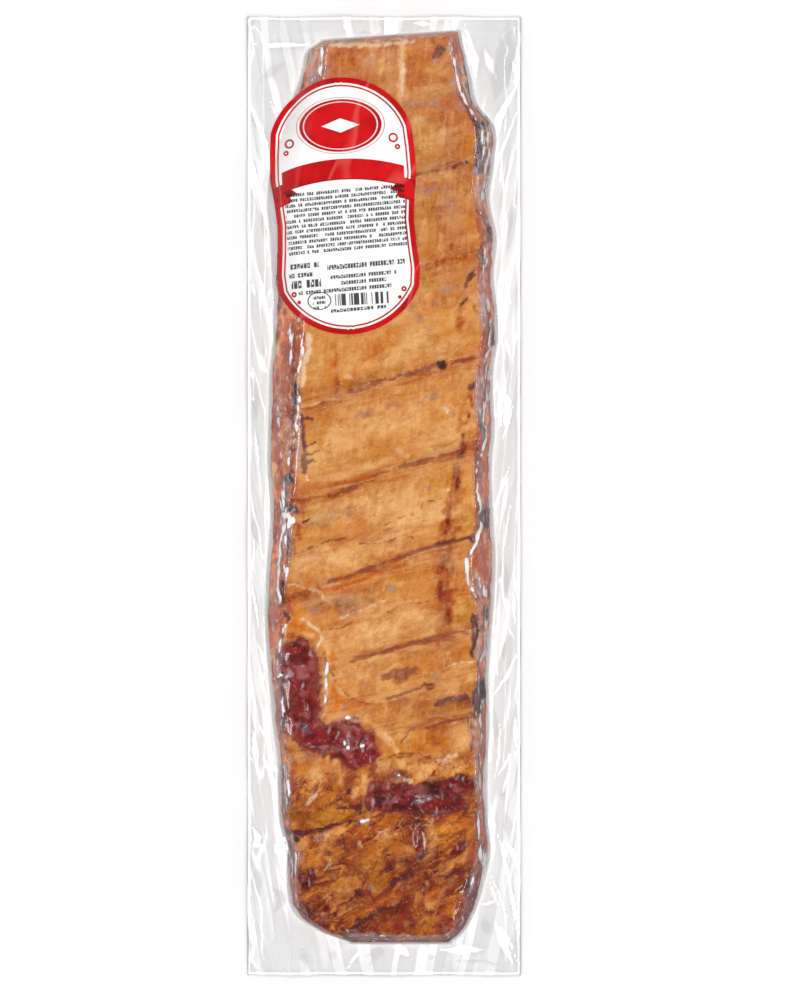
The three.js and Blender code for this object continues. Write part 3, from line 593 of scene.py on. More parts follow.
# The film's gloss adds a little white, so the colours are set darker by as much, and steep places get less
# light from above, so they are set lighter.
steep = np.gradient(z, axis=1) / np.gradient(x, axis=1), np.gradient(z, axis=0) / np.gradient(y, axis=0)
facing = 1 / np.sqrt(1 + steep[0] ** 2 + steep[1] ** 2)
light = np.clip(np.clip(colour / 255, 0.01, 1) ** 2.2 * 0.97 - 0.014, 0.004, 1)
light = np.clip(light / (0.45 + 0.55 * np.maximum(facing, 0.25))[..., None], 0, 0.95)
under_tone = {"red": 0.15, "green": 0.05, "blue": 0.03}
values = {title: with_under(light[..., i], tone) for i, (title, tone) in enumerate(under_tone.items())}
values |= {
    "lean": with_under(layers["lean"], 0), "side": with_under(side, 1), "lumpy": with_under(lumpy, 0),
    "seam_shade": with_under(layers["seam_shade"], 0), "beneath": with_under(0 * x, 1),
}
for title in ("rib seam", "cream fat and glint", "plum", "shaded pits", "brick side"):
    values[title] = with_under(layers[title], 0)
ribs = shell("ribs", upper, lower, values)


class Value:
    """A shader node's output. Arithmetic on it adds Math or Vector Math nodes, and node() any other."""

    def __init__(self, tree, socket):
        self.tree, self.socket = tree, socket

    def node(self, kind, settings=None, inputs=None, output=0):
        made = self.tree.nodes.new(kind)
        for title, setting in (settings or {}).items():
            setattr(made, title, setting)
        for title, source in (inputs or {}).items():
            if isinstance(source, Value):
                self.tree.links.new(source.socket, made.inputs[title])
            else:
                made.inputs[title].default_value = source
        return Value(self.tree, made.outputs[output])

    def math(self, operation, *others):
        return self.node("ShaderNodeMath", {"operation": operation}, dict(enumerate((self, *others))))

    def __add__(self, other):
        return self.math("ADD", other)

    def __sub__(self, other):
        return self.math("SUBTRACT", other)

    def __mul__(self, other):
        return self.math("MULTIPLY", other)

    def __truediv__(self, other):
        return self.math("DIVIDE", other)

    def __rsub__(self, other):
        return self.math("MULTIPLY_ADD", -1, other)

    __radd__, __rmul__ = __add__, __mul__

    def step(self, low, high):
        """0 at low, 1 at high, and a smooth change between. Low may be above high, for a fall."""
        settings = {"interpolation_type": "SMOOTHSTEP"}
        limits = {1: float(low), 2: float(high), 3: 0.0, 4: 1.0}
        return self.node("ShaderNodeMapRange", settings, {0: self, **limits})

    def grain(self, scale, detail=3.0, stretch=(1, 1, 1), turn=0.0, swirl=0.0, output=0):
        """Noise over this vector in cells of 1 / scale, swirled, and stretched along turned axes."""
        moved = {0: self, 2: (0, 0, turn), 3: stretch}
        place = self.node("ShaderNodeMapping", {"vector_type": "TEXTURE"}, moved)
        inputs = {"Vector": place, "Scale": scale, "Detail": detail, "Distortion": swirl}
        return place.node("ShaderNodeTexNoise", None, inputs, output)


def grains(spot, scale, detail=3.0, stretch=(1, 1, 1), turn=0.0, swirl=0.0):
    """Three unlike noises over one spot, from the three channels of one noise node."""
    colour = spot.grain(scale, detail, stretch, turn, swirl, output=1)
    split = colour.node("ShaderNodeSeparateColor", None, {0: colour})
    return [Value(split.tree, channel) for channel in split.socket.node.outputs]


def mix(first, second, amount, way="MIX"):
    """The first colour with the second laid over it by an amount."""
    settings = {"data_type": "RGBA", "blend_type": way}
    return amount.node("ShaderNodeMix", settings, {0: amount, 6: first, 7: second}, output=2)


def stain(first, second, amount):
    """The first colour darkened by multiplying it with the second."""
    return mix(first, second, amount, "MULTIPLY")


def tint(red, green, blue):
    """A colour given as the eye sees it, 0 to 255, turned into the linear values that light is counted in."""
    seen = np.array([red, green, blue]) / 255
    return (*np.where(seen > 0.04045, ((seen + 0.055) / 1.055) ** 2.4, seen / 12.92), 1.0)


def read_values(start, titles):
    """The mesh's named values, as they come to the shader."""
    return {title: start.node("ShaderNodeAttribute", {"attribute_name": title}, output=2) for title in titles}


def new_material(title):
    """An empty material, the start of its nodes, and each point's place on the object."""
    material = bpy.data.materials.new(title)
    material.use_nodes = True
    material.node_tree.nodes.clear()
    start = Value(material.node_tree, None)
    coordinates = start.node("ShaderNodeTexCoord", output=3)
    return material, start, coordinates


def finish_material(surface):
    """The surface goes to the material's output."""
    end = surface.tree.nodes.new("ShaderNodeOutputMaterial")
    surface.tree.links.new(surface.socket, end.inputs["Surface"])


def veins(field, width):
    """Thin wandering lines where a noise crosses its middle."""
    return 1 - (field - 0.5).math("ABSOLUTE").step(0, width)


def torn(amount, tears, rough=1.0):
    """A soft field cut at its middle after noise has shaken it: edges turn ragged and thin parts break up."""
    return (amount * 1.3 - 0.15 + (tears - 0.5) * (1.7 * rough)).step(0.35, 0.7) * amount.step(0.03, 0.2)


meat, start, spot = new_material("smoked_pork")
mask = read_values(start, values)
mottle = grains(spot, 190.0, 3.0)
fine = grains(spot, 800.0, 2.0)
patch = grains(spot, 60.0, 4.0, (1.7, 1, 1), 0.26)
hatch = grains(spot, 400.0, 3.0, (1, 4.5, 1), -0.12)
streak = grains(spot, 300.0, 4.0, (6, 1, 1), 0.24)
fold = grains(spot, 75.0, 4.0, (2, 1, 1), 0.6, 1.6)
fibre = grains(spot, 180.0, 3.0, (2.2, 1, 1), 0.55, 1.8)
lean, lumps = mask["lean"], mask["lumpy"]
fat = 1 - lean
rib = (1 - lumps) * fat
seam_shade = mask["seam_shade"] * rib
up = start.node("ShaderNodeSeparateXYZ", None, {0: spot}, output=1)
upper_part = up.step(0.045, 0.12)

# Waxy patches and fine upright hatching on the ribs, streaks along the seams, and swirled folds in the lumps.
skin = start.node("ShaderNodeCombineColor", None, {0: mask["red"], 1: mask["green"], 2: mask["blue"]})
skin = stain(skin, tint(238, 204, 160), patch[0].step(0.42, 0.62) * rib * 0.5)
skin = mix(skin, tint(248, 200, 134), patch[1].step(0.45, 0.65) * rib * 0.35)
hatched = hatch[0].step(0.48, 0.64) * patch[2].step(0.4, 0.6) * (0.35 + upper_part * 0.3) * rib
skin = stain(skin, tint(220, 180, 148), hatched)
skin = mix(skin, tint(252, 208, 150), hatch[1].step(0.52, 0.68) * rib * 0.15)
# Streaks darken the ribs most near the seams, as painted seam shade, and lighten them a little there.
skin = stain(skin, tint(214, 168, 134), streak[0].step(0.47, 0.6) * (seam_shade * 0.9 + 0.1))
skin = mix(skin, tint(250, 202, 142), streak[1].step(0.53, 0.66) * (seam_shade * 0.4 + 0.04) * rib)
skin = stain(skin, tint(186, 128, 94), veins(streak[2], 0.012) * mottle[0].step(0.5, 0.6) * rib * 0.6)
skin = stain(skin, tint(196, 140, 112), fibre[1].step(0.5, 0.64) * patch[1].step(0.4, 0.6) * rib * 0.3)
skin = stain(skin, tint(184, 122, 92), fold[0].step(0.46, 0.62) * lumps * 0.8)
skin = stain(skin, tint(140, 76, 56), veins(fibre[0], 0.04) * fold[1].step(0.4, 0.58) * lumps * 0.9)
skin = mix(skin, tint(252, 172, 78), fibre[1].step(0.46, 0.66) * fold[2].step(0.38, 0.6) * lumps * fat * 0.45)
skin = stain(skin, tint(186, 96, 74), fibre[2].step(0.48, 0.64) * fold[1].step(0.48, 0.64) * lumps * 0.8)
# Small whitish flecks on the lumps: a painted sheen of the film.
skin = mix(skin, tint(240, 214, 190), fine[0].step(0.5, 0.64) * fold[1].step(0.6, 0.7) * lumps * 0.4)
skin = mix(skin, tint(234, 176, 122), mottle[1].step(0.55, 0.7) * fat * 0.2)
skin = stain(skin, tint(230, 204, 182), mottle[2].step(0.5, 0.68) * 0.5)
skin = mix(skin, tint(106, 38, 42), torn(lean, mottle[0], 0.6) * (1 - lean.step(0.6, 0.95)) * 0.8)
skin = mix(skin, tint(176, 106, 104), mottle[0].step(0.52, 0.66) * lean * 0.45)
skin = mix(skin, tint(196, 132, 128), fine[0].step(0.54, 0.68) * mottle[1].step(0.45, 0.6) * lean * 0.55)
skin = stain(skin, tint(190, 150, 140), mottle[2].step(0.5, 0.6) * lean)
skin = stain(skin, tint(218, 182, 162), fine[1].step(0.53, 0.68) * (0.3 + lumps * 0.4))
skin = mix(skin, tint(250, 222, 190), fine[2].step(0.6, 0.74) * fat * 0.2)
# Whitish specks on the sides: painted glints of the film.
skin = mix(skin, tint(238, 214, 212), fine[0].step(0.58, 0.7) * mask["side"] * 0.4)
skin = stain(skin, tint(156, 112, 104), mottle[0].step(0.48, 0.6) * mask["side"] * 0.5)

# The drawn lines and spots get torn edges.
skin = mix(skin, tint(176, 78, 54), torn(mask["brick side"] * 1.2, mottle[1], 0.8) * 0.5)
skin = mix(skin, tint(146, 74, 54), torn(mask["rib seam"] * 1.4, mottle[2], 0.8) * 0.5)
# White fat and painted glints, with torn edges.
skin = mix(skin, tint(246, 214, 176), torn(mask["cream fat and glint"] * 1.2, fine[0], 1.6) * 0.28)
skin = mix(skin, tint(104, 40, 48), torn(mask["plum"] * 1.2, mottle[1], 1.2) * 0.45)
skin = mix(skin, tint(58, 28, 36), torn(mask["shaded pits"] * 1.2, mottle[0], 0.6) * 0.7)
bark = mix(tint(104, 42, 28), tint(164, 88, 52), spot.grain(42.0, 4.0, (1.7, 1, 1), 0.25).step(0.4, 0.62))
bark = mix(bark, tint(214, 160, 110), spot.grain(60.0, 5.0, (1, 2.9, 1), 0.2).step(0.54, 0.68) * 0.5)
bark = mix(bark, tint(78, 30, 22), mottle[0].step(0.55, 0.68) * 0.6)
skin = mix(skin, bark, mask["beneath"])
relief = mottle[0] * 0.5 + fold[0] * lumps * 1.6
bump = start.node("ShaderNodeBump", None, {"Strength": 0.7, "Distance": 0.0012, "Height": relief})
finish_material(start.node("ShaderNodeBsdfPrincipled", None, {
    "Base Color": skin, "Roughness": 0.36 + 0.25 * fine[1], "Normal": bump, "Specular IOR Level": 0.08}))
ribs.data.materials.append(meat)
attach(ribs, "root")
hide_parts("bag")


# ---- The film -------------------------------------------------------------------------------------
# Two sheets of clear film, sucked on to the slab and welded to each other round the rim. Beside the slab
# they leave it in a thin tent before they meet, and the border is creased in long slanting folds.

BAG_WIDTH, BAG_LENGTH = 130, 456
TENT = 0.9
RIM_HEIGHT, RIM_WAVE, WAVE_ACROSS, WAVE_ALONG = 4.5, 1.8, 47, 83
BORDER_SLOPE = 9
FOLD_HEIGHT, FOLD_SLANT = 0.7, 0.16

# The left edge stands further out beside the label, which holds the film away from the slab.
FILM_LEFT = LEFT_EDGE.copy()
FILM_LEFT[:, 1] -= 3.0 * np.exp(-(((FILM_LEFT[:, 0] - 140) / 26) ** 2))


def from_rim(x, y):
    """Distance in from the bag's rim."""
    return np.minimum(BAG_WIDTH / 2 - np.abs(x), BAG_LENGTH / 2 - np.abs(y))


def border_height(x, y):
    """Middle of the border without its folds: level beside the slab, and sagging to a wavy rim."""
    wave = np.sin(2 * np.pi * x / WAVE_ACROSS + 1) * np.sin(2 * np.pi * y / WAVE_ALONG)
    rim = RIM_HEIGHT + RIM_WAVE * wave
    return rim + (SEAM_HEIGHT - rim) * smooth(from_rim(x, y) / BORDER_SLOPE)


def folds(x, y):
    """Creases of the border, about -1 to 1: ridged noise on a slant that leans away from the slab."""
    lean = np.sign(x) * FOLD_SLANT
    along, beside = y + lean * x, x - lean * y
    near_end = smooth((np.abs(y) - 195) / 20)
    long_folds = 1 - 2 * np.abs(noise(beside, along / 7, 7.5, 31, 2))
    cross_folds = 1 - 2 * np.abs(noise(beside / 1.6 + 0.7 * along, along / 2.4 - 0.6 * beside, 8.5, 32, 2))
    return long_folds * (1 - near_end) + cross_folds * near_end


def film_top(x, y):
    """Height of the upper sheet: on the slab where there is one, else on the border."""
    left, left_slope = edge_at(FILM_LEFT, y)
    right, right_slope = edge_at(RIGHT_EDGE, y)
    rise = side_rise(x, y, left - TENT, left_slope + TENT, right + TENT, right_slope + TENT)
    out = np.maximum(np.maximum(left - TENT - x, x - right - TENT), 0)
    out = np.maximum(out, np.maximum(y - TOP_END - END_SKEW * x, BOTTOM_END - y))
    free = smooth(out / 4)
    border = border_height(x, y) + FOLD_HEIGHT * folds(x, y) * free
    tent = 1.6 * np.exp(-((out / 2.6) ** 2)) * (0.6 + 0.5 * noise(x, y, 9, 33))
    pleat = 0.35 * noise(x * 0.4, y, 3.2, 34, 2) * smooth(rise * 6) * smooth((1 - rise) * 4)
    return border + 0.15 + tent + (face_height(x, y) - border - 0.15 - tent) * rise + pleat, rise, free, out


def film_bottom(x, y, top):
    """Height of the lower sheet: it lies on the floor under the slab, and meets the upper one at the rim."""
    left, _ = edge_at(FILM_LEFT, y)
    right, _ = edge_at(RIGHT_EDGE, y)
    inside = np.clip(np.minimum(x - left + TENT, right + TENT - x) / UNDER_CURVE, 0, 1)
    inward = from_rim(x, y)
    gap = 0.15 + 0.8 * smooth(inward / 2.5) * smooth((14 - inward) / 6)
    border = border_height(x, y) + FOLD_HEIGHT * folds(x, y) * smooth(1 - inside * 8) - gap
    rise = (1 - (1 - inside) ** 2) * end_rise(x, y)
    return np.minimum(border * (1 - rise) + 0.02 * rise, top - 0.25)


film_rows = np.concatenate([
    np.linspace(-BAG_LENGTH / 2, BOTTOM_END, 19)[:-1],
    np.linspace(BOTTOM_END, TOP_END, 430),
    np.linspace(TOP_END, BAG_LENGTH / 2, 13)[1:],
])
# Beyond the slab's ends the rows take their edges from a place on the slab.
inner_rows = np.where(film_rows < BOTTOM_END, 2 * BOTTOM_END - film_rows, np.minimum(film_rows, TOP_END))
skew, left, right = row_places(inner_rows, FILM_LEFT, RIGHT_EDGE, TENT)
skew *= np.clip((BAG_LENGTH / 2 - film_rows) / (BAG_LENGTH / 2 - TOP_END), 0, 1)


def film_grid(border_count, slope_count, face_count):
    """Rows of the film: columns spread from rim to slab edge, over the slab, and on to the other rim."""
    half = np.full(len(film_rows), BAG_WIDTH / 2)
    left_slope = edge_at(FILM_LEFT, inner_rows)[1] + TENT
    right_slope = edge_at(RIGHT_EDGE, inner_rows)[1] + TENT
    stops = np.stack([-half, left, left + left_slope, right - right_slope, right, half], -1)
    counts = (border_count, slope_count, face_count, slope_count, border_count)
    zones = [i + np.linspace(0, 1, n, endpoint=False) for i, n in enumerate(counts)]
    spread = np.concatenate([*zones, [5.0]])
    i = np.minimum(spread.astype(int), 4)
    x = stops[:, i] + (stops[:, i + 1] - stops[:, i]) * (spread - i)
    return x, film_rows[:, None] + skew[:, None] * x


x, y = film_grid(29, 16, 70)
z, rise, free, out = film_top(x, y)
upper = np.stack([x, y, z], -1)
x_low, y_low = film_grid(14, 4, 6)
z_low = film_bottom(x_low, y_low, film_top(x_low, y_low)[0])
z_low[:, 0], z_low[:, -1] = z[:, 0], z[:, -1]
lower = np.stack([x_low, y_low, z_low], -1)

# Where the film is clouded: strokes as above, for ridges partly clouded and partly painted highlight,
# for painted glints, and for grey pockets.
RIDGES = """
    .7 322,50,1 322,64,1.1 320,78,.9; .85 452,50,1 456,76,1.2 460,94,1.2 468,110,1.4 477,124,1.2;
    .7 478,108,1.2 488,120,1.6 491,136,1.2; .55 484,138,5 486,172,4; .8 486,182,2.2 482,200,1.2;
    .8 476,212,1.2 486,218,2.2 489,226,1.4; .7 484,244,1.2 486,262,1.6 482,280,1;
    .8 487,296,1.2 490,320,1.4 489,350,1.2 484,362,1.4 488,378,2.2;
    .85 488,378,1.6 486,400,1.4 483,420,1.2 486,436,1.2 480,456,1.4;
    .85 480,456,1.4 476,474,1.4 477,492,1.4 481,506,1.8 480,526,1.8 474,548,1.4;
    .85 474,544,1.4 466,560,1.2 468,580,1.4 476,597,1.8; .6 482,588,4 486,594,4;
    .9 485,606,1.6 486,614,1.8 484,626,1.2 486,650,1.2 478,662,1.2;
    .7 478,662,1.2 484,690,1 480,716,1.2 482,736,1.2 480,752,1.2;
    .75 479,752,1 480,790,1 478,820,1 479,850,1.2 482,862,1.6; .55 482,846,3 484,862,3;
    .6 478,872,1.6 470,882,1.4 462,890,1.2; .8 301,336,1 303,350,1.1 301,364,1 297,378,1;
    .7 291,330,1 292,350,1 290,366,1; .8 300,398,1.1 298,424,1.3 294,446,1.1 287,468,1;
    .6 284,494,3 285,512,4; .95 284,514,2 292,520,3 285,528,2.6; .8 294,507,1 298,512,1;
    .85 282,530,1.4 281,546,1.4 279,566,1.4 278,588,1.2 281,604,1.2; .5 289,532,3 289,556,3;
    .5 285,566,3 287,578,2; .8 283,610,1.2 290,618,1 284,628,1.2 280,646,1.2 277,664,1.2;
    .8 275,678,1.2 282,674,3 288,682,2; .7 283,684,1.2 284,706,1 281,732,1;
    .6 284,766,3 286,782,3 288,800,3; .6 286,840,4 290,858,3 294,874,3; .8 296,852,.9 295,872,.9;
    .7 326,660,1 328,690,1 324,712,1; .75 345,716,1.6 358,718,1.2; .4 340,736,1 350,748,1 364,744,1;
    .55 416,800,1.6 428,796,2.4; .6 346,928,1 358,932,1.2; .7 374,940,1 382,934,1 392,935,1;
    .5 444,925,1 448,936,1; .6 360,820,2 368,818,1.4; .6 404,776,1.2 396,772,1.2"""
POCKETS = """
    .75 296,384,2.4 295,404,2.8; .75 289,474,3.4 293,482,3; .75 290,510,3 296,508,2.4;
    .9 482,123,2 485,130,2.4; .7 479,140,2 476,160,2 474,176,2; .85 489,230,3 490,240,3;
    .7 480,256,2.4 482,264,2.6; .75 492,326,2.4 493,344,3; .6 482,424,2.4 484,436,2.6;
    .9 486,510,3.4 486,526,4; .7 487,606,3 486,618,2.4; .85 480,682,4 483,696,4.4;
    .5 476,640,2 474,650,2; .6 480,770,1.4 482,776,1.4; .5 476,880,2 470,888,2"""
# White veils where air lies between film and meat, and on the border painted highlights along its folds
# and painted shade on grey facets.
VEILS = """
    .8 484,124,5 486,150,5 485,180,5 481,202,3; .5 480,380,4 480,420,3; .5 484,296,3 485,330,3;
    .7 286,482,4 285,545,4; .55 279,645,4 279,700,4 282,738,3; .6 286,765,3.4 288,805,3.4;
    .65 292,838,4 293,868,4 294,900,3; .5 480,846,3 482,866,3; .5 474,872,3 466,888,2.4;
    .6 312,50,5 314,84,6; .4 278,360,3 277,440,3; .4 480,600,3 478,655,3; .4 478,725,3 478,830,2.4;
    .5 350,934,4 400,937,3 440,937,3; .5 460,60,2.4 468,100,2.4; .4 274,560,3 275,620,3;
    .4 330,46,3 420,40,3"""
SHEENS = """
    1 247,93,1 256,118,2 265,143,2.4 270,172,2 273,202,1.2;
    1 247,148,1 253,168,1.8 258,187,2 266,222,1.8 271,245,1; .8 270,100,1 278,123,1.2;
    1 518,83,1.2 508,101,2.4 499,118,3.4 492,150,2.6 488,200,1.2;
    .8 518,110,1 507,137,1.4 496,166,1.4 490,207,1; .8 513,150,.9 506,187,1.4 501,243,1;
    .9 251,44,2 275,45,2.4 315,45,2; .9 251,48,2.4 252,58,2; .9 344,22,2.4 350,30,3;
    .7 413,22,3 432,24,3; .7 465,24,4 474,60,5 476,82,4; .6 484,48,5 496,78,5; .9 513,60,1.6 516,78,1.4;
    .7 252,255,1.2 262,284,1.6 268,314,1; .9 251,283,1.6 255,296,1.4;
    .9 269,316,1.6 273,334,1.6 271,350,1; .9 250,372,2 255,378,2; .9 254,428,1.4 259,469,1.6;
    .9 266,470,4 270,510,5 271,551,3; .8 250,564,1.6 255,571,1.6; .9 251,582,1.2 259,628,1.6;
    1 257,643,1.4 264,661,2.4 271,680,1.4; .9 267,679,1 272,722,1.2; .9 250,689,1.4 256,708,1.4;
    .9 258,724,1.4 268,741,1.6; .8 253,730,3 257,770,4; 1 261,750,1.4 272,780,2 280,800,1.4;
    .9 274,740,2 280,755,1.6; 1 251,826,1.6 258,838,3.4 255,845,2.6 264,846,1.6;
    1 274,843,1.6 279,858,2; .8 282,880,2 288,887,1.6; 1 257,935,1.4 251,960,2.4 258,970,2.4;
    1 347,970,2 355,957,1.6 361,949,1.4; .9 391,944,3 402,950,4.4 410,957,3; .8 440,950,4 485,950,4.4;
    1 494,919,1.6 503,942,4 514,968,2; .9 500,922,1.2 507,937,1.4 520,967,1.6;
    1 490,883,1.2 494,895,1.8 498,907,1.2; .7 480,905,2 496,902,1.2; .9 473,914,1.6 470,928,2;
    .7 488,866,.9 507,917,1; .9 498,833,1.2 507,870,1.6 514,907,1.6 520,940,1.2;
    1 504,841,1.4 512,851,2.4 519,871,1.6; .9 500,747,1 495,778,1.2; .9 512,753,.9 497,777,1;
    .7 508,773,1.4 502,795,1.4; .6 490,800,4 494,850,4; .9 504,292,2.4 511,303,3;
    .9 497,307,1.4 498,334,1.4; .7 505,337,2.4 510,357,2; .7 500,388,2 508,402,4 503,428,2.4;
    1 513,404,1.4 508,422,2.2 503,440,1.2; .8 499,395,2.4 501,428,2;
    1 510,466,1.2 500,492,1.6 492,516,1.4; .9 511,503,1 506,531,1.2 502,556,1;
    .8 513,592,1.8 515,625,1.8; .8 508,627,1.2 515,640,1.4; 1 517,653,1.2 507,676,1.8 493,696,1.8;
    .7 492,633,2.4 498,679,2.4; .9 515,717,2.4 516,750,2; .8 500,722,1 498,762,1.2;
    .7 511,684,1 508,722,1"""
SHADES = """
    1 508,22,7 506,50,8 500,80,9 494,102,5; .7 260,80,6 285,62,6; .7 355,33,3 375,33,3; .8 450,26,4;
    .8 252,105,3 256,130,3; .7 262,205,3 266,245,3; .8 512,200,3 508,240,3; .9 255,380,4 256,422,4;
    .6 262,319,1.4 268,400,1.2; .8 255,505,4 256,551,4; .8 263,630,3 268,655,3;
    .7 262,690,2.4 266,715,2; .9 270,886,4 284,898,5 272,915,4; .6 256,862,5 258,905,5; .6 250,925,4;
    .8 300,948,5 308,965,4; .8 330,948,4 336,962,4; 1 366,956,5 378,952,5 370,966,5;
    .6 425,958,4 436,957,3; .8 447,962,1.4 483,961,1.6 507,968,1.4; .7 484,918,6 488,935,5;
    .9 506,812,5 510,840,5; .8 496,522,4 498,580,5 496,632,4; .8 507,348,3.4 507,390,3.4;
    .7 494,705,4 496,745,4; .7 505,560,3 508,600,4; .6 506,640,4 503,662,3; .6 500,790,3 505,800,3;
    .5 256,600,3; .5 262,560,3; .5 510,880,3 516,905,2"""
# Where painted glints go: the film's slopes beside the slab, and more faintly the lean.
slope_share = smooth(rise * 5) * smooth((0.985 - rise) * 12)
glint_zone = np.maximum(slope_share, 0.4 * paint(x, y, COATS["lean"][2]))

# Between the drawn folds run fainter painted gleams, on the same slant.
slant = np.sign(x) * FOLD_SLANT
gleam = noise(x - slant * y, (y + slant * x) / 9, 5.5, 41, 2) * free
inward = from_rim(x, y)
count = (z_low.shape[1] - 2) * len(film_rows)
values = {
    "ridge_cloud_and_glint": paint(x, y, RIDGES, wander=0.6), "pocket": paint(x, y, POCKETS, wander=0.8), "gleam": gleam,
    "veil": paint(x, y, VEILS, wander=1.5), "sheen": paint(x, y, SHEENS, 0.7, 0.6, True) * free,
    "shade": paint(x, y, SHADES, 0.5, 0.4, True) * free, "free": free, "glint_zone": glint_zone, "inward": inward,
    "near": np.exp(-out / 5),
}
values = {title: np.concatenate([field.ravel(), np.zeros(count)]) for title, field in values.items()}
film = shell("film", upper, lower, values)

clear, start, spot = new_material("clear_film")
mask = read_values(start, values)


def within(value, low, high, soft=0.12):
    """1 where a value lies between two limits, with an edge as sharp as print."""
    return (value - low + soft).step(0, 2 * soft) * (high - value + soft).step(0, 2 * soft)


crinkle = spot.grain(330.0, 4.0, (1, 2.4, 1))
pocket = torn(mask["pocket"], crinkle, 1.6)
# Ridges of film are partly clouded and partly painted highlight.
ridge = torn(mask["ridge_cloud_and_glint"] * 0.88, crinkle, 2.2)
# A painted shadow in a thin band beside each ridge.
beside = mask["ridge_cloud_and_glint"].step(0.02, 0.3) * (1 - ridge) * crinkle.step(0.6, 0.4)
glint = crinkle.step(0.6, 0.68) * mask["glint_zone"]
veil = mask["veil"] * (0.3 + crinkle.step(0.42, 0.66) * 0.7)
border = mask["free"].step(0, 0.25)

# The faintest painted highlight and shade streaks lean outwards on both sides of the slab, each side with
# noise of its own.
across = start.node("ShaderNodeSeparateXYZ", None, {0: spot})
down = start.node("ShaderNodeSeparateXYZ", None, {0: spot}, output=1)
both_sides = {0: across.math("ABSOLUTE"), 1: down, 2: across.math("SIGN")}
outward = start.node("ShaderNodeCombineXYZ", None, both_sides)
slanting = outward.grain(130.0, 2.0, (1, 12, 1), -FOLD_SLANT)
sheen = mask["sheen"].step(0.1, 0.8) + slanting.step(0.56, 0.62) * 0.5
shade = mask["shade"].step(0.2, 0.5) + slanting.step(0.45, 0.4) * 0.4
line = within(mask["inward"], 0.5, 1.3) + mask["gleam"].step(0.15, 0.55) * 0.35
dark_line = within(mask["inward"], 1.5, 1.8) + within(mask["inward"], -1, 0.4)
# The film's clouding, with painted highlights, painted shade and a painted lift next to the slab added in.
haze = border * (0.25 + sheen * 0.55 + shade * 0.1 + line * 0.6 + dark_line * 0.45 + mask["near"] * 0.4)
haze = haze + ridge * 0.85 + beside * 0.35 + glint * 0.6 + veil * 0.4 + pocket * 0.75

# The border has painted highlights on its folds, painted shade on greyer facets, and lines where the two
# sheets are welded.
milk_with_painted_light = mix(tint(253, 253, 253), tint(226, 226, 227), shade)
milk_with_painted_light = mix(milk_with_painted_light, tint(220, 220, 221), dark_line)
milk_with_painted_light = mix(tint(248, 244, 246), milk_with_painted_light, border)
# Painted shadow beside the ridges.
milk_with_painted_light = mix(milk_with_painted_light, tint(96, 62, 66), beside * (1 - border))
# Dark air pockets, with painted highlights where the noise runs high.
milk_with_painted_light = mix(milk_with_painted_light, mix(tint(58, 44, 54), tint(170, 158, 168), crinkle.step(0.5, 0.62)), pocket)
see_through = start.node("ShaderNodeBsdfTransparent", None, {"Color": tint(253, 253, 253)})
upright = start.node("ShaderNodeCombineXYZ", None, {2: 1.0})
# Painted light: the border glows, most on its highlights and lines and next to the slab, least on shaded
# facets, and the ridges glow a little.
lit = (0.55 - shade * 0.45 + sheen + line + mask["near"] * 0.5) * border + ridge * 0.25
glow = mix((0, 0, 0, 1), (0.3, 0.3, 0.3, 1), lit)
clouded = start.node("ShaderNodeBsdfPrincipled", None, {
    "Base Color": milk_with_painted_light, "Normal": upright, "Roughness": 0.9, "Specular IOR Level": 0.0,
    "Emission Color": glow, "Emission Strength": 1.0})
gloss = start.node("ShaderNodeBsdfGlossy", None, {"Color": (1, 1, 1, 1), "Roughness": 0.12})
inside = start.node("ShaderNodeNewGeometry", output=6)
mirrored = start.node("ShaderNodeFresnel", None, {"IOR": 1.36}).math("MINIMUM", 0.06) * (1 - inside)
cover = haze.node("ShaderNodeClamp", None, {0: haze})
body = start.node("ShaderNodeMixShader", None, {0: cover, 1: see_through, 2: clouded})
finish_material(start.node("ShaderNodeMixShader", None, {0: mirrored, 1: body, 2: gloss}))
film.data.materials.append(clear)
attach(film, "root")
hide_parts("bag")


# ---- The label ------------------------------------------------------------------------------------
# A die-cut label of coated white paper, printed in red and black and stuck on the upper sheet. It has a
# red edge with two fine lines inside it, a red plaque, a bent red band and small rows of black print.

LABEL_X, LABEL_Y, LABEL_TURN = -18.6, 137, np.radians(3)
LABEL_TOP, LABEL_BOTTOM = 60.8, -60.8
LABEL_FACE, LABEL_BACK = 0.32, 0.14  # above the film
PLAQUE_HEIGHT = 38.0

# Its sides from the heels to the shoulders: height and half width.
LABEL_SIDE = np.array([
    (-39.6, 33.2), (-31, 34.0), (-20, 33.0), (-8, 32.3), (3, 33.2), (14, 34.7), (26, 34.3), (36.6, 33.4),
])


def label_half(v):
    """Half the label's width: an arc above the shoulders and below the heels, and a waist between."""
    half = np.interp(v, LABEL_SIDE[:, 0], LABEL_SIDE[:, 1])
    for (corner, width), apex in ((LABEL_SIDE[-1], LABEL_TOP), (LABEL_SIDE[0], LABEL_BOTTOM)):
        tall = abs(apex - corner)
        radius = (width**2 + tall**2) / (2 * tall)
        up = np.sign(apex - corner)
        depth = np.clip(radius - (apex - v) * up, 0, radius)
        arc = np.sqrt(np.maximum(radius**2 - depth**2, 0))
        half = np.where((v - corner) * up > 0, arc, half)
    return half


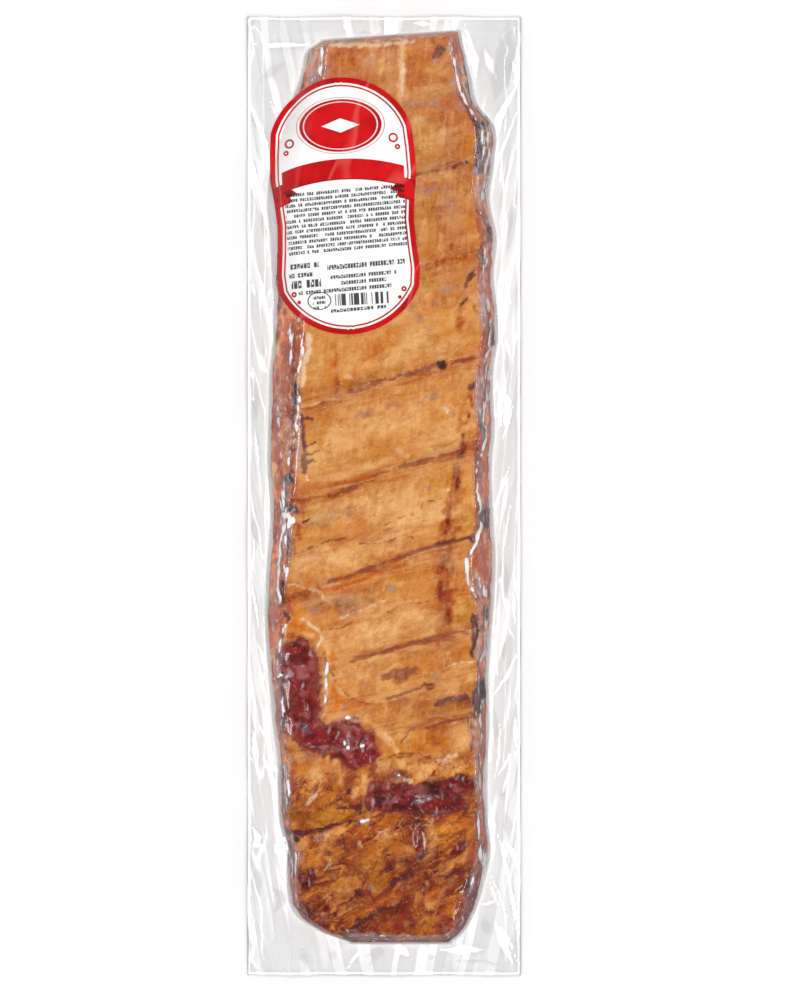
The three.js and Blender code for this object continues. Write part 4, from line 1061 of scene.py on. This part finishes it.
turn = np.linspace(0.03, np.pi - 0.03, 250)
v = (LABEL_TOP * -np.cos(turn) * 0.5 + np.linspace(LABEL_BOTTOM, LABEL_TOP, 250) * 0.5)
half = label_half(v)
u = half[:, None] * np.sin(np.linspace(-np.pi / 2, np.pi / 2, 150) * 0.85) / np.sin(np.pi / 2 * 0.85)
v = v[:, None] + 0 * u
x = LABEL_X + u * np.cos(LABEL_TURN) - v * np.sin(LABEL_TURN)
y = LABEL_Y + u * np.sin(LABEL_TURN) + v * np.cos(LABEL_TURN)
z = film_top(x, y)[0]
upper = np.stack([x, y, z + LABEL_FACE], -1)
few = np.linspace(0, u.shape[1] - 1, 40).round().astype(int)
lower = np.stack([x, y, z + LABEL_BACK], -1)[:, few]
lower[:, 0], lower[:, -1] = upper[:, 0], upper[:, -1]

# Distance in from the cut edge, in mm: the nearest of many points round the outline.
around = np.linspace(LABEL_BOTTOM, LABEL_TOP, 1200)
outline = np.concatenate([
    np.stack([label_half(around), around], -1), np.stack([-label_half(around), around], -1)])
rim = np.min([np.hypot(u - a, v - b) for a, b in outline], axis=0)


def both(values):
    """Values of the upper grid, followed by those of the lower grid's own points."""
    return np.concatenate([values.ravel(), values[:, few][:, 1:-1].ravel()])


label = shell("label_print", upper, lower, {"rim": both(rim), "u": both(u), "v": both(v)})

paper, start, spot = new_material("printed_paper")
rim, u, v = read_values(start, ("rim", "u", "v")).values()
sheen = spot.grain(60.0, 2.0)

# Painted sheen on the red print: lighter and darker patches, and thin light lines along creases.
crease = veins(spot.grain(26.0, 2.0, (1, 3.3, 1), -0.25), 0.02)
red = mix(tint(182, 0, 8), tint(216, 14, 22), sheen.step(0.35, 0.65))
red = mix(red, tint(238, 96, 92), crease * 0.5)
ink = mix(tint(254, 253, 252), red, within(rim, -1, 2.6))
ink = mix(ink, red, within(rim, 3.5, 4.3))
wide = u.math("ABSOLUTE")
arch = v - 17.2 + u * u * 0.0056
dark_red = tint(146, 6, 16)
ink = mix(ink, dark_red, within(arch, -10.9, -0.6) * within(wide, 25.6, 34))
ink = mix(ink, red, within(arch, -10.4, -1.1) * within(wide + (arch + 5.7).math("ABSOLUTE") * 0.3, 26.1, 34))
ink = mix(ink, dark_red, within(arch, -8.0, -4.8) * within(wide - (arch + 4.8) * 0.9, 24.5, 29))
ink = mix(ink, red, within(arch, -4.8, 5.0) * within(u, -29, 29))
ink = mix(ink, dark_red, within(arch, -4.8, -4.3, 0.06) * within(u, -29, 29))
plaque = (u / 19.5) * (u / 19.5) + ((v - PLAQUE_HEIGHT) / 12.5) * ((v - PLAQUE_HEIGHT) / 12.5)
ink = mix(ink, tint(232, 120, 124), within(plaque, 1.12, 1.17, 0.02))
ink = mix(ink, red, within(plaque, -1, 1.0, 0.02))
ink = mix(ink, tint(254, 250, 248), within(plaque, 0.78, 0.83, 0.02))
diamond = wide / 9.0 + (v - PLAQUE_HEIGHT).math("ABSOLUTE") / 3.4
ink = mix(ink, tint(254, 250, 248), within(diamond, -1, 1.0, 0.04))
for height, out, radius in ((31.0, 24.6, 2.3), (26.6, 26.4, 1.3), (-40.6, 26.0, 1.3), (-44.4, 23.8, 0.9)):
    ring = ((wide - out) * (wide - out) + (v - height) * (v - height)).math("SQRT")
    ink = mix(ink, red, within(ring, radius - 0.9, radius))
tilted = v - u * 0.035


def lots(across, up):
    """One random value for each whole step across and up."""
    step = start.node("ShaderNodeCombineXYZ", None, {0: across.math("FLOOR"), 1: up.math("FLOOR")})
    return step.node("ShaderNodeTexWhiteNoise", {"noise_dimensions": "2D"}, {"Vector": step})


def marks(cell, pitch, low, high, begin, end, gaps=0.14):
    """Rows of black marks: each row is cut into cells, and noise fills parts of each cell and leaves gaps."""
    column, row = u / cell, (tilted - low) / pitch
    inside = within(tilted, low, high) * within(u, begin, end) * lots(column, row).step(gaps, gaps + 0.02)
    inside = inside * within(row.math("FRACT"), 0.2, 0.8, 0.05) * within(column.math("FRACT"), 0.1, 0.9, 0.1)
    return inside * lots(column * 3, row * 5).step(0.1, 0.14)


# Rows of print: width of a cell, pitch of the rows, lower and upper end, left and right end.
black = tint(24, 22, 26)
printed = marks(1.1, 2.5, -21.6, 8.4, -28.0, 28.6)
for row in (
    (1.6, 4.0, -28.6, -24.6, -28.0, -13.5), (1.4, 3.4, -32.6, -29.2, -28.0, -16.5),
    (2.0, 6.0, -38.2, -32.2, -27.0, -13.0), (1.3, 3.8, -30.4, -26.6, -9.6, 27.0),
    (1.2, 2.8, -34.6, -31.8, -8.6, 22.8), (1.2, 2.8, -37.6, -34.8, -3.6, 18.0),
    (1.2, 2.9, -40.8, -37.9, -23.8, 20.2), (1.6, 2.6, -50.4, -47.8, -9.0, 17.0),
):
    printed = printed + marks(*row, gaps=0.08)
bar = start.node("ShaderNodeTexWhiteNoise", {"noise_dimensions": "1D"}, {"W": (u / 0.42).math("FLOOR")})
printed = printed + within(v, -47.0, -41.4) * within(u, -6.8, 18.6) * bar.step(0.42, 0.46)
stamp = ((u + 14.2) / 5.5) * ((u + 14.2) / 5.5) + ((v + 44.2) / 4.2) * ((v + 44.2) / 4.2)
printed = printed + within(stamp, 0.86, 1.06, 0.03) + marks(1.2, 2.4, -48.2, -41.0, -17.2, -11.4)
ink = mix(ink, black, printed.math("MINIMUM", 0.94))
finish_material(start.node("ShaderNodeBsdfPrincipled", None, {
    "Base Color": ink, "Roughness": 0.4 + 0.1 * sheen, "Specular IOR Level": 0.15}))
label.data.materials.append(paper)
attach(label, "root")
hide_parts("label")


# ---- Floor, light and camera ----------------------------------------------------------------------
# A plain white sheet in an even white surround, lit by one wide light overhead and a low strip at each
# side, and seen from straight above.

FLOOR_HALF, FLOOR_Z = 3, -0.0005
corners = [(a * FLOOR_HALF, b * FLOOR_HALF, FLOOR_Z) for a, b in ((-1, -1), (1, -1), (1, 1), (-1, 1))]
floor_mesh = bpy.data.meshes.new("floor")
floor_mesh.from_pydata(corners, [], [(0, 1, 2, 3)])
floor = bpy.data.objects.new("floor", floor_mesh)
bpy.context.collection.objects.link(floor)
card, start, spot = new_material("white_card")
finish_material(start.node("ShaderNodeBsdfPrincipled", None, {
    "Base Color": tint(252, 252, 252), "Roughness": 0.9 + 0.05 * spot.grain(3.0), "Specular IOR Level": 0.1}))
floor_mesh.materials.append(card)

world = bpy.data.worlds.new("surround")
bpy.context.scene.world = world
world.use_nodes = True
world.node_tree.nodes["Background"].inputs["Color"].default_value = (1, 1, 1, 1)
world.node_tree.nodes["Background"].inputs["Strength"].default_value = 0.4

# The light overhead shows in no gloss, and the two strips show only in gloss.
for title, place, height, width, length, power in (
    ("overhead", 0, 3.4, 1.6, 1.6, 80),
    ("left_strip", -1.2, 1.1, 0.3, 1.6, 22),
    ("right_strip", 1.2, 1.1, 0.3, 1.6, 22),
):
    light = bpy.data.lights.new(title, "AREA")
    light.shape, light.size, light.size_y, light.energy = "RECTANGLE", width, length, power
    lamp = bpy.data.objects.new(title, light)
    lamp.location = (place, 0, height)
    lamp.rotation_euler = (0, np.arctan2(place, height), 0)
    lamp.visible_glossy, lamp.visible_diffuse = place != 0, place == 0
    bpy.context.collection.objects.link(lamp)

# The picture's longer side shows VIEW metres at the distance of the bag's border.
SENSOR, VIEW, DISTANCE = 36, 0.475, 2.99
camera = bpy.data.objects.new("camera", bpy.data.cameras.new("camera"))
camera.data.sensor_width = SENSOR
camera.data.lens = SENSOR * DISTANCE / VIEW
camera.location = (0.0057, -0.0019, 3.0)
bpy.context.collection.objects.link(camera)
bpy.context.scene.camera = camera
bpy.context.scene.view_settings.view_transform = "Standard"
